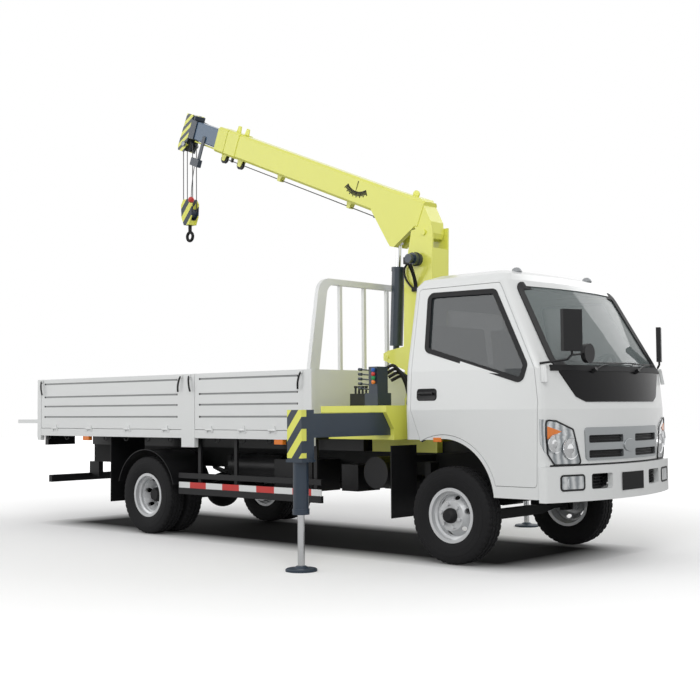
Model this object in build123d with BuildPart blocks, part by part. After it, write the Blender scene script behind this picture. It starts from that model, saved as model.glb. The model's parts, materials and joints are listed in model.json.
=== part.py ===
"""Light cab-over truck with a drop-side bed and a telescopic loader crane behind the cab.

Units are millimetres. +X is forward, +Y is to the truck's left and +Z is up. The origin lies on
the ground under the middle of the truck's outline. Longitudinal places are measured from the
front axle and become X by adding front_axle_x.
"""

import os
from functools import cache
from math import cos, radians, sin

from build123d import *

os.makedirs("parts", exist_ok=True)

# Wheels and axles
wheelbase = 3850.0
tyre_radius = 396.0
tyre_width = 205.0
bead_radius = 203.0
rim_flange_radius = 223.0
rim_width = 160.0
rim_wall = 7.0
wheel_nuts = 6
front_wheel_y = 870.0
rear_wheels_y = 825.0
twin_spacing = 240.0
kingpin_y = 745.0
kingpin_radius = 18.0
kingpin_boss_radius = 40.0
kingpin_boss_height = 90.0
spindle_radius = 30.0
axle_beam_width = 80.0
running_gap = 0.06
seat_gap = 0.3

# Frame rails
rail_outer_y = 375.0
rail_height = 200.0
rail_bottom_z = 670.0
rail_flange = 65.0
rail_web = 7.0
rail_front = 990.0
rail_rear = -5700.0
cross_tube_radius = 38.0
spring_y = 450.0
spring_width = 70.0
spring_thickness = 52.0
front_spring_half = 600.0
rear_spring_half = 650.0
spring_eye_z = 590.0

# Cab shell
cab_wall = 40.0
cab_floor_z = 1040.0
cab_floor_thickness = 30.0
footwell_floor_z = 715.0
footwell_rear = 450.0
tunnel_half_width = 520.0
arch_radius = 485.0
arch_centre = -45.0
arch_centre_z = 530.0
arch_flare = 35.0
door_gap = 4.0
door_glass_inset = 14.0
glass_thickness = 5.0
front_corner_radius = 90.0
rear_corner_radius = 55.0

# Cab outline rows from the sill to the roof: height, half width, front at the middle,
# front at the corners, rear wall, share of the wall's thickness taken off the height
CAB_ROWS = [
    (560.0, 965.0, 1085.0, 885.0, -450.0, -1.0),
    (1250.0, 985.0, 1085.0, 888.0, -450.0, 0.0),
    (1567.0, 968.0, 1040.0, 868.0, -450.0, 0.0),
    (2285.0, 838.0, 590.0, 490.0, -440.0, 0.2),
    (2345.0, 780.0, 520.0, 450.0, -410.0, 0.8),
    (2385.0, 660.0, 400.0, 350.0, -330.0, 1.0),
]

# Bumper
bumper_bottom_z = 540.0
bumper_top_z = 811.0
bumper_front = 1120.0
bumper_corner = 925.0
bumper_half_width = 985.0
bumper_side_end = 870.0
bumper_corner_radius = 40.0
bumper_wall = 45.0

# Bed
bed_front = -1430.0
bed_length = 4365.0
bed_half_width = 1080.0
bed_floor_z = 1100.0
floor_thickness = 36.0
skirt_bottom_z = 990.0
skirt_top_z = 1070.0
side_thickness = 40.0
side_top_z = 1620.0
post_thickness = 46.0
mid_post_x = -3135.0
mid_post_length = 199.0
end_post_length = 70.0
front_post_length = 110.0
side_end_gap = 5.0
hinge_offset = 12.0
hinge_radius = 9.0
hinge_pin_radius = 5.0
hinge_length = 60.0
hinge_lug = 18.0
tail_knuckle_half = 35.0
tail_length = 485.0
tail_thickness = 42.0
tail_hinge_offset = 15.0
tail_hinge_z = 1112.0
headboard_thickness = 36.0
guard_tube = 42.0
guard_top_z = 2450.0
guard_top_rail = 55.0
guard_bars = 5
guard_bar_spacing = 330.0

# Crane base and outriggers
slew_x = -960.0
base_half_length = 380.0
base_bottom_z = 1000.0
base_top_z = 1290.0
base_half_width = 1060.0
base_foot_half_width = 960.0
beam_offset_x = 260.0
beam_width = 160.0
beam_height = 190.0
beam_z = 1135.0
beam_wall = 8.0
beam_reach = 1888.0
beam_inner_end = 650.0
beam_stroke = 780.0
jack_box_length = 160.0
jack_box_width = 140.0
jack_box_bottom_z = 870.0
jack_box_top_z = 1260.0
jack_barrel_radius = 62.0
jack_barrel_bottom_z = 440.0
jack_rod_radius = 28.0
jack_rod_top_z = 800.0
jack_stroke = 390.0
pad_radius = 125.0
pad_thickness = 22.0
pad_boss_radius = 55.0
pad_boss_height = 22.0
telescope_gap = 0.5

# Slewing column
bearing_radius = 230.0
bearing_top_z = 1400.0
column_half_width = 125.0
cheek_thickness = 20.0
column_top_z = 2940.0
boom_pin_x = -904.0
boom_pin_z = 2887.0
boom_pin_radius = 25.0
winch_x = -975.0
winch_z = 2640.0
winch_drum_radius = 62.0
winch_flange_radius = 92.0
luff_foot_x = -1360.0
luff_foot_z = 1750.0
luff_pin_radius = 18.0

# Boom, in its own frame: S runs from the foot pin towards the head, T is square to it
boom_elevation = 22.5
boom_bottom_t = 5.0
boom_height = 263.0
boom_width = 200.0
boom_wall = 8.0
boom_base_start = 120.0
boom_base_end = 2862.0
collar_length = 188.0
boom_mid_start = 350.0
boom_mid_collar_start = 3060.0
boom_mid_end = 3220.0
boom_inner_start = 500.0
boom_inner_end = 3660.0
section_gap = 5.0
mid_inner_gap = 8.0
boom_stroke = 2100.0
ear_pin_s = 358.0
ear_pin_t = -184.0
ear_thickness = 12.0
luff_barrel_radius = 62.5
luff_barrel_start = 110.0
luff_barrel_end = 860.0
luff_rod_radius = 28.0
luff_rod_tail = 420.0
head_sheave_s = 3765.0
head_sheave_t = -48.0
head_sheave_radius = 75.0
rope_radius = 5.0
fall_y = 28.0

# Hook block below the head sheave
block_drop = 775.0
block_height = 293.0
block_length = 190.0
block_width = 110.0
hook_drop = 150.0

# Places that follow from the sizes above
front_reach = bumper_front
headboard_x = bed_front - 60.0
tail_hinge_x = bed_front - bed_length - hinge_offset
tail_end = tail_hinge_x - seat_gap - tail_length
front_axle_x = -(front_reach + tail_end) / 2
axle_z = tyre_radius
rail_top_z = rail_bottom_z + rail_height
rear_axle_x = front_axle_x - wheelbase
slew_centre_x = front_axle_x + slew_x
boom_pin = Vector(front_axle_x + boom_pin_x, 0, boom_pin_z)


def block(x, y, z, mode=Mode.ADD):
    """Adds or cuts a block given by its lowest and highest X, Y and Z."""
    with Locations(((x[0] + x[1]) / 2, (y[0] + y[1]) / 2, (z[0] + z[1]) / 2)):
        Box(x[1] - x[0], y[1] - y[0], z[1] - z[0], mode=mode)


def bar(start, end, radius, mode=Mode.ADD):
    """Adds or cuts a round bar between two points."""
    start, end = Vector(*start), Vector(*end)
    with Locations(Plane(origin=start, z_dir=end - start)):
        Cylinder(radius, (end - start).length, align=(Align.CENTER, Align.CENTER, Align.MIN), mode=mode)


def plate(points, y_low, y_high, corner=0.0, mode=Mode.ADD):
    """Adds or cuts a plate whose outline lies in X and Z, between two Y positions."""
    with BuildSketch(Plane.XZ.offset(-y_low)) as outline:
        with BuildLine():
            Polyline(*points, close=True)
        make_face()
        if corner:
            fillet(outline.vertices(), corner)
    extrude(outline.sketch, amount=y_low - y_high, mode=mode)


def section(points, x_low, x_high, corner=0.0, mode=Mode.ADD):
    """Adds or cuts a bar whose section lies in Y and Z, between two X positions."""
    with BuildSketch(Plane.YZ.offset(x_low)) as outline:
        with BuildLine():
            Polyline(*points, close=True)
        make_face()
        if corner:
            fillet(outline.vertices(), corner)
    extrude(outline.sketch, amount=x_high - x_low, mode=mode)


def mirrored(points):
    """The same Y and Z outline on the truck's other side."""
    return [(-y, z) for y, z in points]


def save(piece, label):
    piece.part.label = label
    export_step(piece.part, f"parts/{label}.step")


fx = front_axle_x

# Ladder frame: two channel rails, cross tubes and spring hangers
spring_rows = [(fx, front_spring_half), (rear_axle_x, rear_spring_half)]
cross_tubes = [rail_front - 90.0, -1020.0, -1900.0, -2700.0, -4420.0, rail_rear + 80.0]
hanger_half = 32.0
rail_inner_y = rail_outer_y - rail_web

with BuildPart() as chassis_frame:
    for side in (-1, 1):
        section(
            [
                (side * rail_outer_y, rail_bottom_z),
                (side * rail_outer_y, rail_top_z),
                (side * (rail_outer_y - rail_flange), rail_top_z),
                (side * (rail_outer_y - rail_flange), rail_top_z - rail_web),
                (side * rail_inner_y, rail_top_z - rail_web),
                (side * rail_inner_y, rail_bottom_z + rail_web),
                (side * (rail_outer_y - rail_flange), rail_bottom_z + rail_web),
                (side * (rail_outer_y - rail_flange), rail_bottom_z),
            ],
            fx + rail_rear,
            fx + rail_front,
        )
        for middle, half in spring_rows:
            for end in (-1, 1):
                hanger_x = middle + end * half
                y_pair = sorted((side * rail_outer_y, side * (spring_y + spring_width / 2)))
                block(
                    (hanger_x - hanger_half, hanger_x + hanger_half),
                    y_pair,
                    (spring_eye_z + spring_thickness / 2, rail_bottom_z + 0.6 * rail_height),
                )
    for place in cross_tubes:
        tube_z = rail_bottom_z + rail_height / 2
        bar((fx + place, -rail_inner_y, tube_z), (fx + place, rail_inner_y, tube_z), cross_tube_radius)
save(chassis_frame, "chassis_frame")

# Engine as one plain block between the rails
engine_front = 250.0
engine_rear = -680.0
engine_half_width = 280.0
engine_bottom_z = 480.0
engine_top_z = 965.0
with BuildPart() as engine_block:
    block(
        (fx + engine_rear, fx + engine_front),
        (-engine_half_width, engine_half_width),
        (engine_bottom_z, engine_top_z),
    )
    for side in (-1, 1):
        mount_y = sorted((side * engine_half_width, side * rail_inner_y))
        block((fx - 60.0, fx + 20.0), mount_y, (rail_bottom_z + 60.0, rail_bottom_z + 110.0))
save(engine_block, "engine_block")

# Gearbox, propeller shaft and silencer
gearbox_rear = -1500.0
shaft_radius = 42.0
axle_housing_radius = 70.0
differential_radius = 185.0
shaft_z = 560.0
silencer_y = 505.0
silencer_z = 560.0
silencer_radius = 95.0
with BuildPart() as driveline:
    with BuildSketch(Plane.YZ.offset(fx + engine_rear - seat_gap)) as bell_front:
        with Locations((0, shaft_z + 40.0)):
            Circle(180.0)
    with BuildSketch(Plane.YZ.offset(fx + engine_rear - 300.0)) as bell_rear:
        with Locations((0, shaft_z + 20.0)):
            Circle(115.0)
    loft([bell_front.sketch, bell_rear.sketch])
    bar(
        (fx + engine_rear - 295.0, 0, shaft_z + 20.0),
        (fx + gearbox_rear + 150.0, 0, shaft_z + 10.0),
        110.0,
    )
    bar((fx + gearbox_rear + 155.0, 0, shaft_z), (fx + gearbox_rear, 0, shaft_z), 60.0)
    shaft_end = (rear_axle_x + differential_radius + 70.0, 0, axle_z + 15.0)
    bar((fx + gearbox_rear + 5.0, 0, shaft_z), shaft_end, shaft_radius)
save(driveline, "driveline")

# Front axle beam with its leaf springs, and the rear axle housing with its own
def leaf_spring(middle, half, side, seat_z):
    """A pack of leaves, arched down from its eyes to the axle seat."""
    y_low = side * spring_y - spring_width / 2
    with BuildSketch(Plane.XZ.offset(-y_low)) as outline:
        with BuildLine():
            ThreePointArc(
                (middle - half, spring_eye_z + spring_thickness / 2),
                (middle, seat_z + spring_thickness),
                (middle + half, spring_eye_z + spring_thickness / 2),
            )
            Line(
                (middle + half, spring_eye_z + spring_thickness / 2),
                (middle + half, spring_eye_z),
            )
            ThreePointArc((middle + half, spring_eye_z), (middle, seat_z), (middle - half, spring_eye_z))
            Line((middle - half, spring_eye_z), (middle - half, spring_eye_z + spring_thickness / 2))
        make_face()
    extrude(outline.sketch, amount=-spring_width)


beam_drop = 75.0
seat_height = 50.0
with BuildPart() as front_axle:
    with BuildSketch(Plane.YZ.offset(fx - axle_beam_width / 2)) as beam_outline:
        with BuildLine():
            Polyline(
                (-kingpin_y, axle_z + 38.0),
                (-520.0, axle_z + 45.0),
                (-330.0, axle_z - beam_drop + 80.0),
                (330.0, axle_z - beam_drop + 80.0),
                (520.0, axle_z + 45.0),
                (kingpin_y, axle_z + 38.0),
                (kingpin_y, axle_z - 38.0),
                (520.0, axle_z - 40.0),
                (330.0, axle_z - beam_drop),
                (-330.0, axle_z - beam_drop),
                (-520.0, axle_z - 40.0),
                (-kingpin_y, axle_z - 38.0),
                close=True,
            )
        make_face()
    extrude(beam_outline.sketch, amount=axle_beam_width)
    for side in (-1, 1):
        with Locations((fx, side * kingpin_y, axle_z)):
            Cylinder(kingpin_boss_radius, kingpin_boss_height)
            Cylinder(kingpin_radius + running_gap, kingpin_boss_height, mode=Mode.SUBTRACT)
        seat_y = (side * spring_y - spring_width / 2, side * spring_y + spring_width / 2)
        block((fx - 70.0, fx + 70.0), seat_y, (axle_z, axle_z + seat_height + 5.0))
        leaf_spring(fx, front_spring_half, side, axle_z + seat_height)
save(front_axle, "front_axle")

rear_axle_tube_end = 560.0
rear_spindle_radius = 35.0
rear_spindle_end = 790.0
with BuildPart() as rear_axle:
    bar(
        (rear_axle_x, -rear_axle_tube_end, axle_z),
        (rear_axle_x, rear_axle_tube_end, axle_z),
        axle_housing_radius,
    )
    bar((rear_axle_x, -rear_spindle_end, axle_z), (rear_axle_x, rear_spindle_end, axle_z), rear_spindle_radius)
    with Locations((rear_axle_x, 0, axle_z)):
        Sphere(differential_radius)
    bar((rear_axle_x, 0, axle_z), (rear_axle_x + differential_radius + 68.0, 0, axle_z + 14.0), 75.0)
    for side in (-1, 1):
        seat_y = (side * spring_y - spring_width / 2, side * spring_y + spring_width / 2)
        block(
            (rear_axle_x - 80.0, rear_axle_x + 80.0),
            seat_y,
            (axle_z, axle_z + axle_housing_radius + 15.0),
        )
        leaf_spring(rear_axle_x, rear_spring_half, side, axle_z + axle_housing_radius + 10.0)
save(rear_axle, "rear_axle")


# Wheels: each is drawn in a frame with its own X along the axle, outward
def axle_plane(x, side, y):
    return Plane(origin=(x, side * y, axle_z), x_dir=(0, side, 0), z_dir=(side, 0, 0))


def revolve_ring(plane, points, mode=Mode.ADD):
    """Turns an outline of outward distance and radius about the axle."""
    with BuildSketch(plane) as outline:
        with BuildLine():
            Polyline(*points, close=True)
        make_face()
    revolve(outline.sketch, axis=Axis(plane.origin, plane.x_dir), mode=mode)


def tyre_ring(plane, middle):
    """A tyre with a crowned tread, bulged sides and beads seated on the rim."""
    half = tyre_width / 2
    bead_half = rim_width / 2 - rim_wall - seat_gap
    shoulder = tyre_radius - 30.0
    bulge = (rim_flange_radius + tyre_radius) / 2
    with BuildSketch(plane) as outline:
        with BuildLine():
            Line((middle - bead_half, bead_radius + seat_gap), (middle + bead_half, bead_radius + seat_gap))
            Line((middle + bead_half, bead_radius + seat_gap), (middle + bead_half, rim_flange_radius + 4.0))
            ThreePointArc(
                (middle + bead_half, rim_flange_radius + 4.0),
                (middle + half, bulge),
                (middle + half - 12.0, shoulder),
            )
            Line((middle + half - 12.0, shoulder), (middle + half - 24.0, tyre_radius - 7.0))
            ThreePointArc(
                (middle + half - 24.0, tyre_radius - 7.0),
                (middle, tyre_radius),
                (middle - half + 24.0, tyre_radius - 7.0),
            )
            Line((middle - half + 24.0, tyre_radius - 7.0), (middle - half + 12.0, shoulder))
            ThreePointArc(
                (middle - half + 12.0, shoulder),
                (middle - half, bulge),
                (middle - bead_half, rim_flange_radius + 4.0),
            )
            Line((middle - bead_half, rim_flange_radius + 4.0), (middle - bead_half, bead_radius + seat_gap))
        make_face()
    revolve(outline.sketch, axis=Axis(plane.origin, plane.x_dir))


def rim_ring(plane, middle):
    """A pressed steel rim with its flanges, bead seats and well."""
    half = rim_width / 2
    well = bead_radius - 20.0
    revolve_ring(
        plane,
        [
            (middle - half, rim_flange_radius),
            (middle - half + rim_wall, rim_flange_radius),
            (middle - half + rim_wall, bead_radius),
            (middle - 32.0, bead_radius),
            (middle - 22.0, well),
            (middle + 22.0, well),
            (middle + 32.0, bead_radius),
            (middle + half - rim_wall, bead_radius),
            (middle + half - rim_wall, rim_flange_radius),
            (middle + half, rim_flange_radius),
            (middle + half, bead_radius - rim_wall),
            (middle + 38.0, bead_radius - rim_wall),
            (middle + 28.0, well - rim_wall),
            (middle - 28.0, well - rim_wall),
            (middle - 38.0, bead_radius - rim_wall),
            (middle - half, bead_radius - rim_wall),
        ],
    )


def wheel_disc(plane, rim_at, face_at, direction):
    """A dished disc from the rim's well to the flat that the nuts clamp, with six hand holes."""
    well = bead_radius - 20.0 - rim_wall
    wall = 9.0
    revolve_ring(
        plane,
        [
            (rim_at, well + 4.0),
            (rim_at, well - 14.0),
            (face_at, 118.0),
            (face_at, 58.0),
            (face_at + direction * wall, 58.0),
            (face_at + direction * wall, 122.0),
            (rim_at + direction * wall, well - 8.0),
            (rim_at + direction * wall, well + 4.0),
        ],
    )
    hole_middle = (rim_at + face_at) / 2
    for index in range(wheel_nuts):
        angle = 360.0 * index / wheel_nuts + 45.0
        spoke = plane.z_dir.rotate(Axis((0, 0, 0), plane.x_dir), angle)
        centre = plane.origin + plane.x_dir * hole_middle + spoke * 146.0
        hole_plane = Plane(origin=centre, x_dir=spoke, z_dir=plane.x_dir)
        with BuildSketch(hole_plane) as hole:
            Ellipse(16.0, 25.0)
        extrude(hole.sketch, amount=70.0, both=True, mode=Mode.SUBTRACT)


def wheel_nut_ring(plane, face_at, length):
    for index in range(wheel_nuts):
        angle = 360.0 * index / wheel_nuts + 15.0
        spoke = plane.z_dir.rotate(Axis((0, 0, 0), plane.x_dir), angle)
        foot = plane.origin + plane.x_dir * face_at + spoke * 95.0
        nut_plane = Plane(origin=foot, x_dir=spoke, z_dir=plane.x_dir)
        with BuildSketch(nut_plane) as nut:
            RegularPolygon(16.0, 6)
        extrude(nut.sketch, amount=length)


front_disc_face = 62.0
front_hub_inner = -42.0
front_hub_outer = 128.0
spindle_end = front_wheel_y + 85.0
twin_middle = rear_wheels_y
hub_radius = 60.0
drum_radius = 160.0
rear_hub_outer = 118.0
plane = axle_plane(fx, 1, front_wheel_y)
with BuildPart() as front_rim:
    wheel_disc(plane, 4.0, front_disc_face, 1)
    revolve_ring(
        plane,
        [
            (front_hub_inner, spindle_radius + running_gap),
            (front_hub_inner, 92.0),
            (front_hub_inner + 30.0, 92.0),
            (front_hub_inner + 45.0, hub_radius),
            (front_disc_face + 30.0, hub_radius),
            (front_hub_outer - 12.0, hub_radius - 8.0),
            (front_hub_outer, hub_radius - 22.0),
            (front_hub_outer, 0.0),
            (spindle_end - front_wheel_y + 1.0, 0.0),
            (spindle_end - front_wheel_y + 1.0, spindle_radius + running_gap),
        ],
    )
    rim_ring(plane, 0.0)
    wheel_nut_ring(plane, front_disc_face, 34.0)
save(front_rim, "front_rim_left")
with BuildPart() as front_rim_right:
    mirror(front_rim.part, about=Plane.XZ)
save(front_rim_right, "front_rim_right")

plane = axle_plane(rear_axle_x, -1, twin_middle)
with BuildPart() as rear_rims:
    for end in (-1, 1):
        wheel_disc(plane, end * (twin_spacing / 2 - 4.0), end * 10.0, -end)
    revolve_ring(
        plane,
        [
            (rear_axle_tube_end + 8.0 - twin_middle, rear_spindle_radius + running_gap),
            (rear_axle_tube_end + 8.0 - twin_middle, drum_radius),
            (-70.0, drum_radius),
            (-60.0, 75.0),
            (12.0, 75.0),
            (rear_hub_outer - 20.0, 70.0),
            (rear_hub_outer, 56.0),
            (rear_hub_outer, 0.0),
            (rear_spindle_end - twin_middle + 1.0, 0.0),
            (rear_spindle_end - twin_middle + 1.0, rear_spindle_radius + running_gap),
        ],
    )
    for end in (-1, 1):
        rim_ring(plane, end * twin_spacing / 2)
    wheel_nut_ring(plane, 9.0, 26.0)
save(rear_rims, "rear_rims_right")
with BuildPart() as rear_rims_left:
    mirror(rear_rims.part, about=Plane.XZ)
save(rear_rims_left, "rear_rims_left")

for side, name in ((-1, "right"), (1, "left")):
    with BuildPart() as front_tyre:
        tyre_ring(axle_plane(fx, side, front_wheel_y), 0.0)
    save(front_tyre, f"front_tyre_{name}")

    with BuildPart() as rear_tyres:
        for offset_y in (-twin_spacing / 2, twin_spacing / 2):
            tyre_ring(axle_plane(rear_axle_x, side, twin_middle), offset_y)
    save(rear_tyres, f"rear_tyres_{name}")

    with BuildPart() as knuckle:
        pin_top = axle_z + kingpin_boss_height / 2
        pin_bottom = axle_z - kingpin_boss_height / 2
        arm = 26.0
        bar((fx, side * kingpin_y, pin_bottom - arm), (fx, side * kingpin_y, pin_top + arm), kingpin_radius)
        for low in (pin_top + seat_gap, pin_bottom - seat_gap - arm):
            with Locations((fx, side * kingpin_y, low)):
                Cylinder(36.0, arm, align=(Align.CENTER, Align.CENTER, Align.MIN))
            arm_y = sorted((side * kingpin_y, side * (front_wheel_y + front_hub_inner - 8.0)))
            block((fx - 34.0, fx + 34.0), arm_y, (low, low + arm))
        root_y = sorted(
            (
                side * (kingpin_y + kingpin_boss_radius + 3.0),
                side * (front_wheel_y + front_hub_inner - 1.0),
            )
        )
        block((fx - 45.0, fx + 45.0), root_y, (pin_bottom - arm - seat_gap, pin_top + arm + seat_gap))
        bar((fx, root_y[0 if side > 0 else 1], axle_z), (fx, side * spindle_end, axle_z), spindle_radius)
    save(knuckle, f"knuckle_{name}")


# Cab: every piece is a slice of one lofted body
@cache
def cab_body(inset):
    """The cab's outer form drawn in by an inset, or grown where the inset is negative."""
    sections = []
    for height, half_width, front_middle, front_corner, rear, height_share in CAB_ROWS:
        with BuildSketch(Plane.XY.offset(height - height_share * inset)) as outline:
            with BuildLine():
                Polyline(
                    (fx + front_corner - inset, inset - half_width),
                    (fx + rear + inset, inset - half_width),
                    (fx + rear + inset, half_width - inset),
                    (fx + front_corner - inset, half_width - inset),
                )
                ThreePointArc(
                    (fx + front_corner - inset, half_width - inset),
                    (fx + front_middle - inset, 0),
                    (fx + front_corner - inset, inset - half_width),
                )
            make_face()
            fillet(outline.vertices().group_by(Axis.X)[0], rear_corner_radius - inset / 2)
            fillet(outline.vertices().group_by(Axis.X)[-1], front_corner_radius - inset)
        sections.append(outline.sketch)
    with BuildPart() as body:
        loft(sections, ruled=True)
    return body.part


cab_bottom_z = CAB_ROWS[0][0]
door_top_z = 2262.0
door_bottom_z = 655.0
cab_rear_bottom_z = 1005.0
# Door outline from its top rear corner: place from the front axle, height
DOOR_OUTLINE = [
    (fx - 376.0, door_top_z),
    (fx + 440.0, door_top_z),
    (fx + 828.0, 1567.0),
    (fx + 862.0, 1300.0),
    (fx + 838.0, door_bottom_z),
    (fx - 285.0, door_bottom_z),
    (fx - 285.0, cab_rear_bottom_z),
    (fx - 376.0, 1250.0),
]
DOOR_WINDOW = [
    (fx - 262.0, 2205.0),
    (fx + 395.0, 2195.0),
    (fx + 752.0, 1590.0),
    (fx + 712.0, 1470.0),
    (fx - 238.0, 1744.0),
]
SCREEN_OUTLINE = [(-806.0, 1585.0), (806.0, 1585.0), (728.0, 2238.0), (-728.0, 2238.0)]
REAR_WINDOW = [(-450.0, 1650.0), (450.0, 1650.0), (450.0, 2120.0), (-450.0, 2120.0)]
GRILLE_OUTLINE = [(-560.0, 850.0), (560.0, 850.0), (572.0, 1105.0), (-572.0, 1105.0)]
LAMP_OUTLINE = [
    (612.0, 822.0),
    (866.0, 824.0),
    (945.0, 925.0),
    (985.0, 1050.0),
    (1003.0, 1178.0),
    (850.0, 1158.0),
    (690.0, 1092.0),
]
PANEL_OUTLINE = [
    (-800.0, 1560.0),
    (-640.0, 1345.0),
    (-540.0, 1305.0),
    (540.0, 1305.0),
    (640.0, 1345.0),
    (800.0, 1560.0),
]


def sketch_xz(points, corner, amount, y):
    """An outline in X and Z with round corners, grown by an amount, on the plane at Y."""
    with BuildSketch(Plane.XZ.offset(-y)) as outline:
        with BuildLine():
            Polyline(*points, close=True)
        make_face()
        fillet(outline.vertices(), corner)
        if amount:
            offset(amount=amount)
    return outline.sketch


def sketch_yz(points, corner, amount, x):
    """An outline in Y and Z with round corners, grown by an amount, on the plane at X."""
    with BuildSketch(Plane.YZ.offset(x)) as outline:
        with BuildLine():
            Polyline(*points, close=True)
        make_face()
        fillet(outline.vertices(), corner)
        if amount:
            offset(amount=amount)
    return outline.sketch


def door_prism(side, grow):
    """The space of one door, through the side wall, clear of the wheel arch."""
    inner_y = 560.0
    outer_y = 1100.0
    with BuildPart() as prism:
        y_low = min(side * inner_y, side * outer_y)
        extrude(sketch_xz(DOOR_OUTLINE, 30.0, grow, y_low), amount=inner_y - outer_y)
        centre = (fx + arch_centre, side * (inner_y + outer_y) / 2, arch_centre_z)
        with Locations(Location(centre, (90, 0, 0))):
            Cylinder(arch_radius + arch_flare - grow, outer_y - inner_y, mode=Mode.SUBTRACT)
    return prism.part


def front_prism(points, corner, amount, start=480.0):
    """The space ahead of an outline in Y and Z, from a place behind the cab's front."""
    with BuildPart() as prism:
        extrude(sketch_yz(points, corner, amount, fx + start), amount=900.0)
    return prism.part


def rear_prism(points, corner, amount):
    """The space through the cab's rear wall behind an outline in Y and Z."""
    with BuildPart() as prism:
        extrude(sketch_yz(points, corner, amount, fx - 600.0), amount=300.0)
    return prism.part


def side_prism(points, corner, amount, side):
    """The space through one side wall beside an outline in X and Z."""
    with BuildPart() as prism:
        extrude(sketch_xz(points, corner, amount, min(side * 560.0, side * 1100.0)), amount=-540.0)
    return prism.part


def skin(outer, inner):
    """A layer of the cab's wall between two insets."""
    with BuildPart() as layer:
        add(cab_body(outer))
        add(cab_body(inner), mode=Mode.SUBTRACT)
    return layer.part


wide = 1100.0
lamp_start = 875.0
floor_underside_z = cab_floor_z - cab_floor_thickness
footwell_underside_z = footwell_floor_z - cab_floor_thickness
with BuildPart() as cab_space:
    add(cab_body(cab_wall))
    block((fx - 600.0, fx + footwell_rear), (-wide, wide), (floor_underside_z, cab_floor_z), mode=Mode.SUBTRACT)
    block(
        (fx + footwell_rear, fx + footwell_rear + cab_wall),
        (-wide, wide),
        (footwell_underside_z, cab_floor_z),
        mode=Mode.SUBTRACT,
    )
    block(
        (fx + footwell_rear + cab_wall, fx + 1300.0),
        (-wide, wide),
        (footwell_underside_z, footwell_floor_z),
        mode=Mode.SUBTRACT,
    )
    block(
        (fx + footwell_rear, fx + 1300.0),
        (-tunnel_half_width - cab_wall, tunnel_half_width + cab_wall),
        (footwell_underside_z - 1.0, cab_floor_z),
        mode=Mode.SUBTRACT,
    )
with BuildPart() as cab_shell:
    add(cab_body(0.0))
    add(cab_space.part, mode=Mode.SUBTRACT)
    block((fx - 700.0, fx + 1300.0), (-wide, wide), (300.0, cab_bottom_z + 1.0), mode=Mode.SUBTRACT)
    block((fx - 700.0, fx + arch_centre), (-wide, wide), (300.0, cab_rear_bottom_z), mode=Mode.SUBTRACT)
    block(
        (fx - 700.0, fx + rail_front + 10.0),
        (-tunnel_half_width, tunnel_half_width),
        (300.0, floor_underside_z),
        mode=Mode.SUBTRACT,
    )
    with Locations(Location((fx + arch_centre, 0, arch_centre_z), (90, 0, 0))):
        Cylinder(arch_radius, 2 * wide, mode=Mode.SUBTRACT)
    for side in (-1, 1):
        add(door_prism(side, door_gap), mode=Mode.SUBTRACT)
        lamp = LAMP_OUTLINE if side > 0 else mirrored(LAMP_OUTLINE)
        add(front_prism(lamp, 25.0, seat_gap, lamp_start - seat_gap), mode=Mode.SUBTRACT)
    add(front_prism(SCREEN_OUTLINE, 60.0, 0.0), mode=Mode.SUBTRACT)
    add(front_prism(GRILLE_OUTLINE, 30.0, seat_gap), mode=Mode.SUBTRACT)
    add(rear_prism(REAR_WINDOW, 50.0, 0.0), mode=Mode.SUBTRACT)
    block(
        (fx + bumper_side_end - seat_gap, fx + 1300.0),
        (-wide, wide),
        (cab_bottom_z - 10.0, bumper_top_z + seat_gap),
        mode=Mode.SUBTRACT,
    )
save(cab_shell, "cab_shell")

with BuildPart() as windscreen:
    add(skin(8.0, 8.0 + glass_thickness))
    add(front_prism(SCREEN_OUTLINE, 60.0, -seat_gap), mode=Mode.INTERSECT)
with BuildPart() as rear_glass:
    add(skin(12.0, 12.0 + glass_thickness))
    add(rear_prism(REAR_WINDOW, 50.0, -seat_gap), mode=Mode.INTERSECT)
with BuildPart() as cab_glass:
    add(windscreen.part)
    add(rear_glass.part)
save(cab_glass, "cab_glass")

with BuildPart() as door:
    add(skin(0.0, cab_wall))
    add(door_prism(-1, 0.0), mode=Mode.INTERSECT)
    add(side_prism(DOOR_WINDOW, 42.0, 0.0, -1), mode=Mode.SUBTRACT)
save(door, "door_right")
with BuildPart() as door_glass:
    add(skin(door_glass_inset, door_glass_inset + glass_thickness))
    add(side_prism(DOOR_WINDOW, 42.0, -seat_gap, -1), mode=Mode.INTERSECT)
save(door_glass, "door_glass_right")
with BuildPart() as left_door:
    mirror(door.part, about=Plane.XZ)
save(left_door, "door_left")
with BuildPart() as left_door_glass:
    mirror(door_glass.part, about=Plane.XZ)
save(left_door_glass, "door_glass_left")

panel_depth = 6.0
with BuildPart() as front_panel:
    add(skin(-panel_depth, 0.0))
    add(front_prism(PANEL_OUTLINE, 20.0, 0.0), mode=Mode.INTERSECT)
save(front_panel, "front_panel")

slot_inner_y = 95.0
slot_outer_y = 530.0
# Grille slots on each side of a plain middle: bottom, top
GRILLE_SLOTS = [(868.0, 928.0), (985.0, 1045.0)]
with BuildPart() as slot_spaces:
    for low, high in GRILLE_SLOTS:
        slot = [(slot_inner_y, low), (slot_outer_y, low), (slot_outer_y, high), (slot_inner_y, high)]
        for points in (slot, mirrored(slot)):
            add(front_prism(points, 14.0, 0.0))
    add(cab_body(20.0), mode=Mode.SUBTRACT)
with BuildPart() as grille:
    add(skin(-10.0, 28.0))
    add(front_prism(GRILLE_OUTLINE, 30.0, 0.0), mode=Mode.INTERSECT)
    add(slot_spaces.part, mode=Mode.SUBTRACT)
save(grille, "grille")

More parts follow.
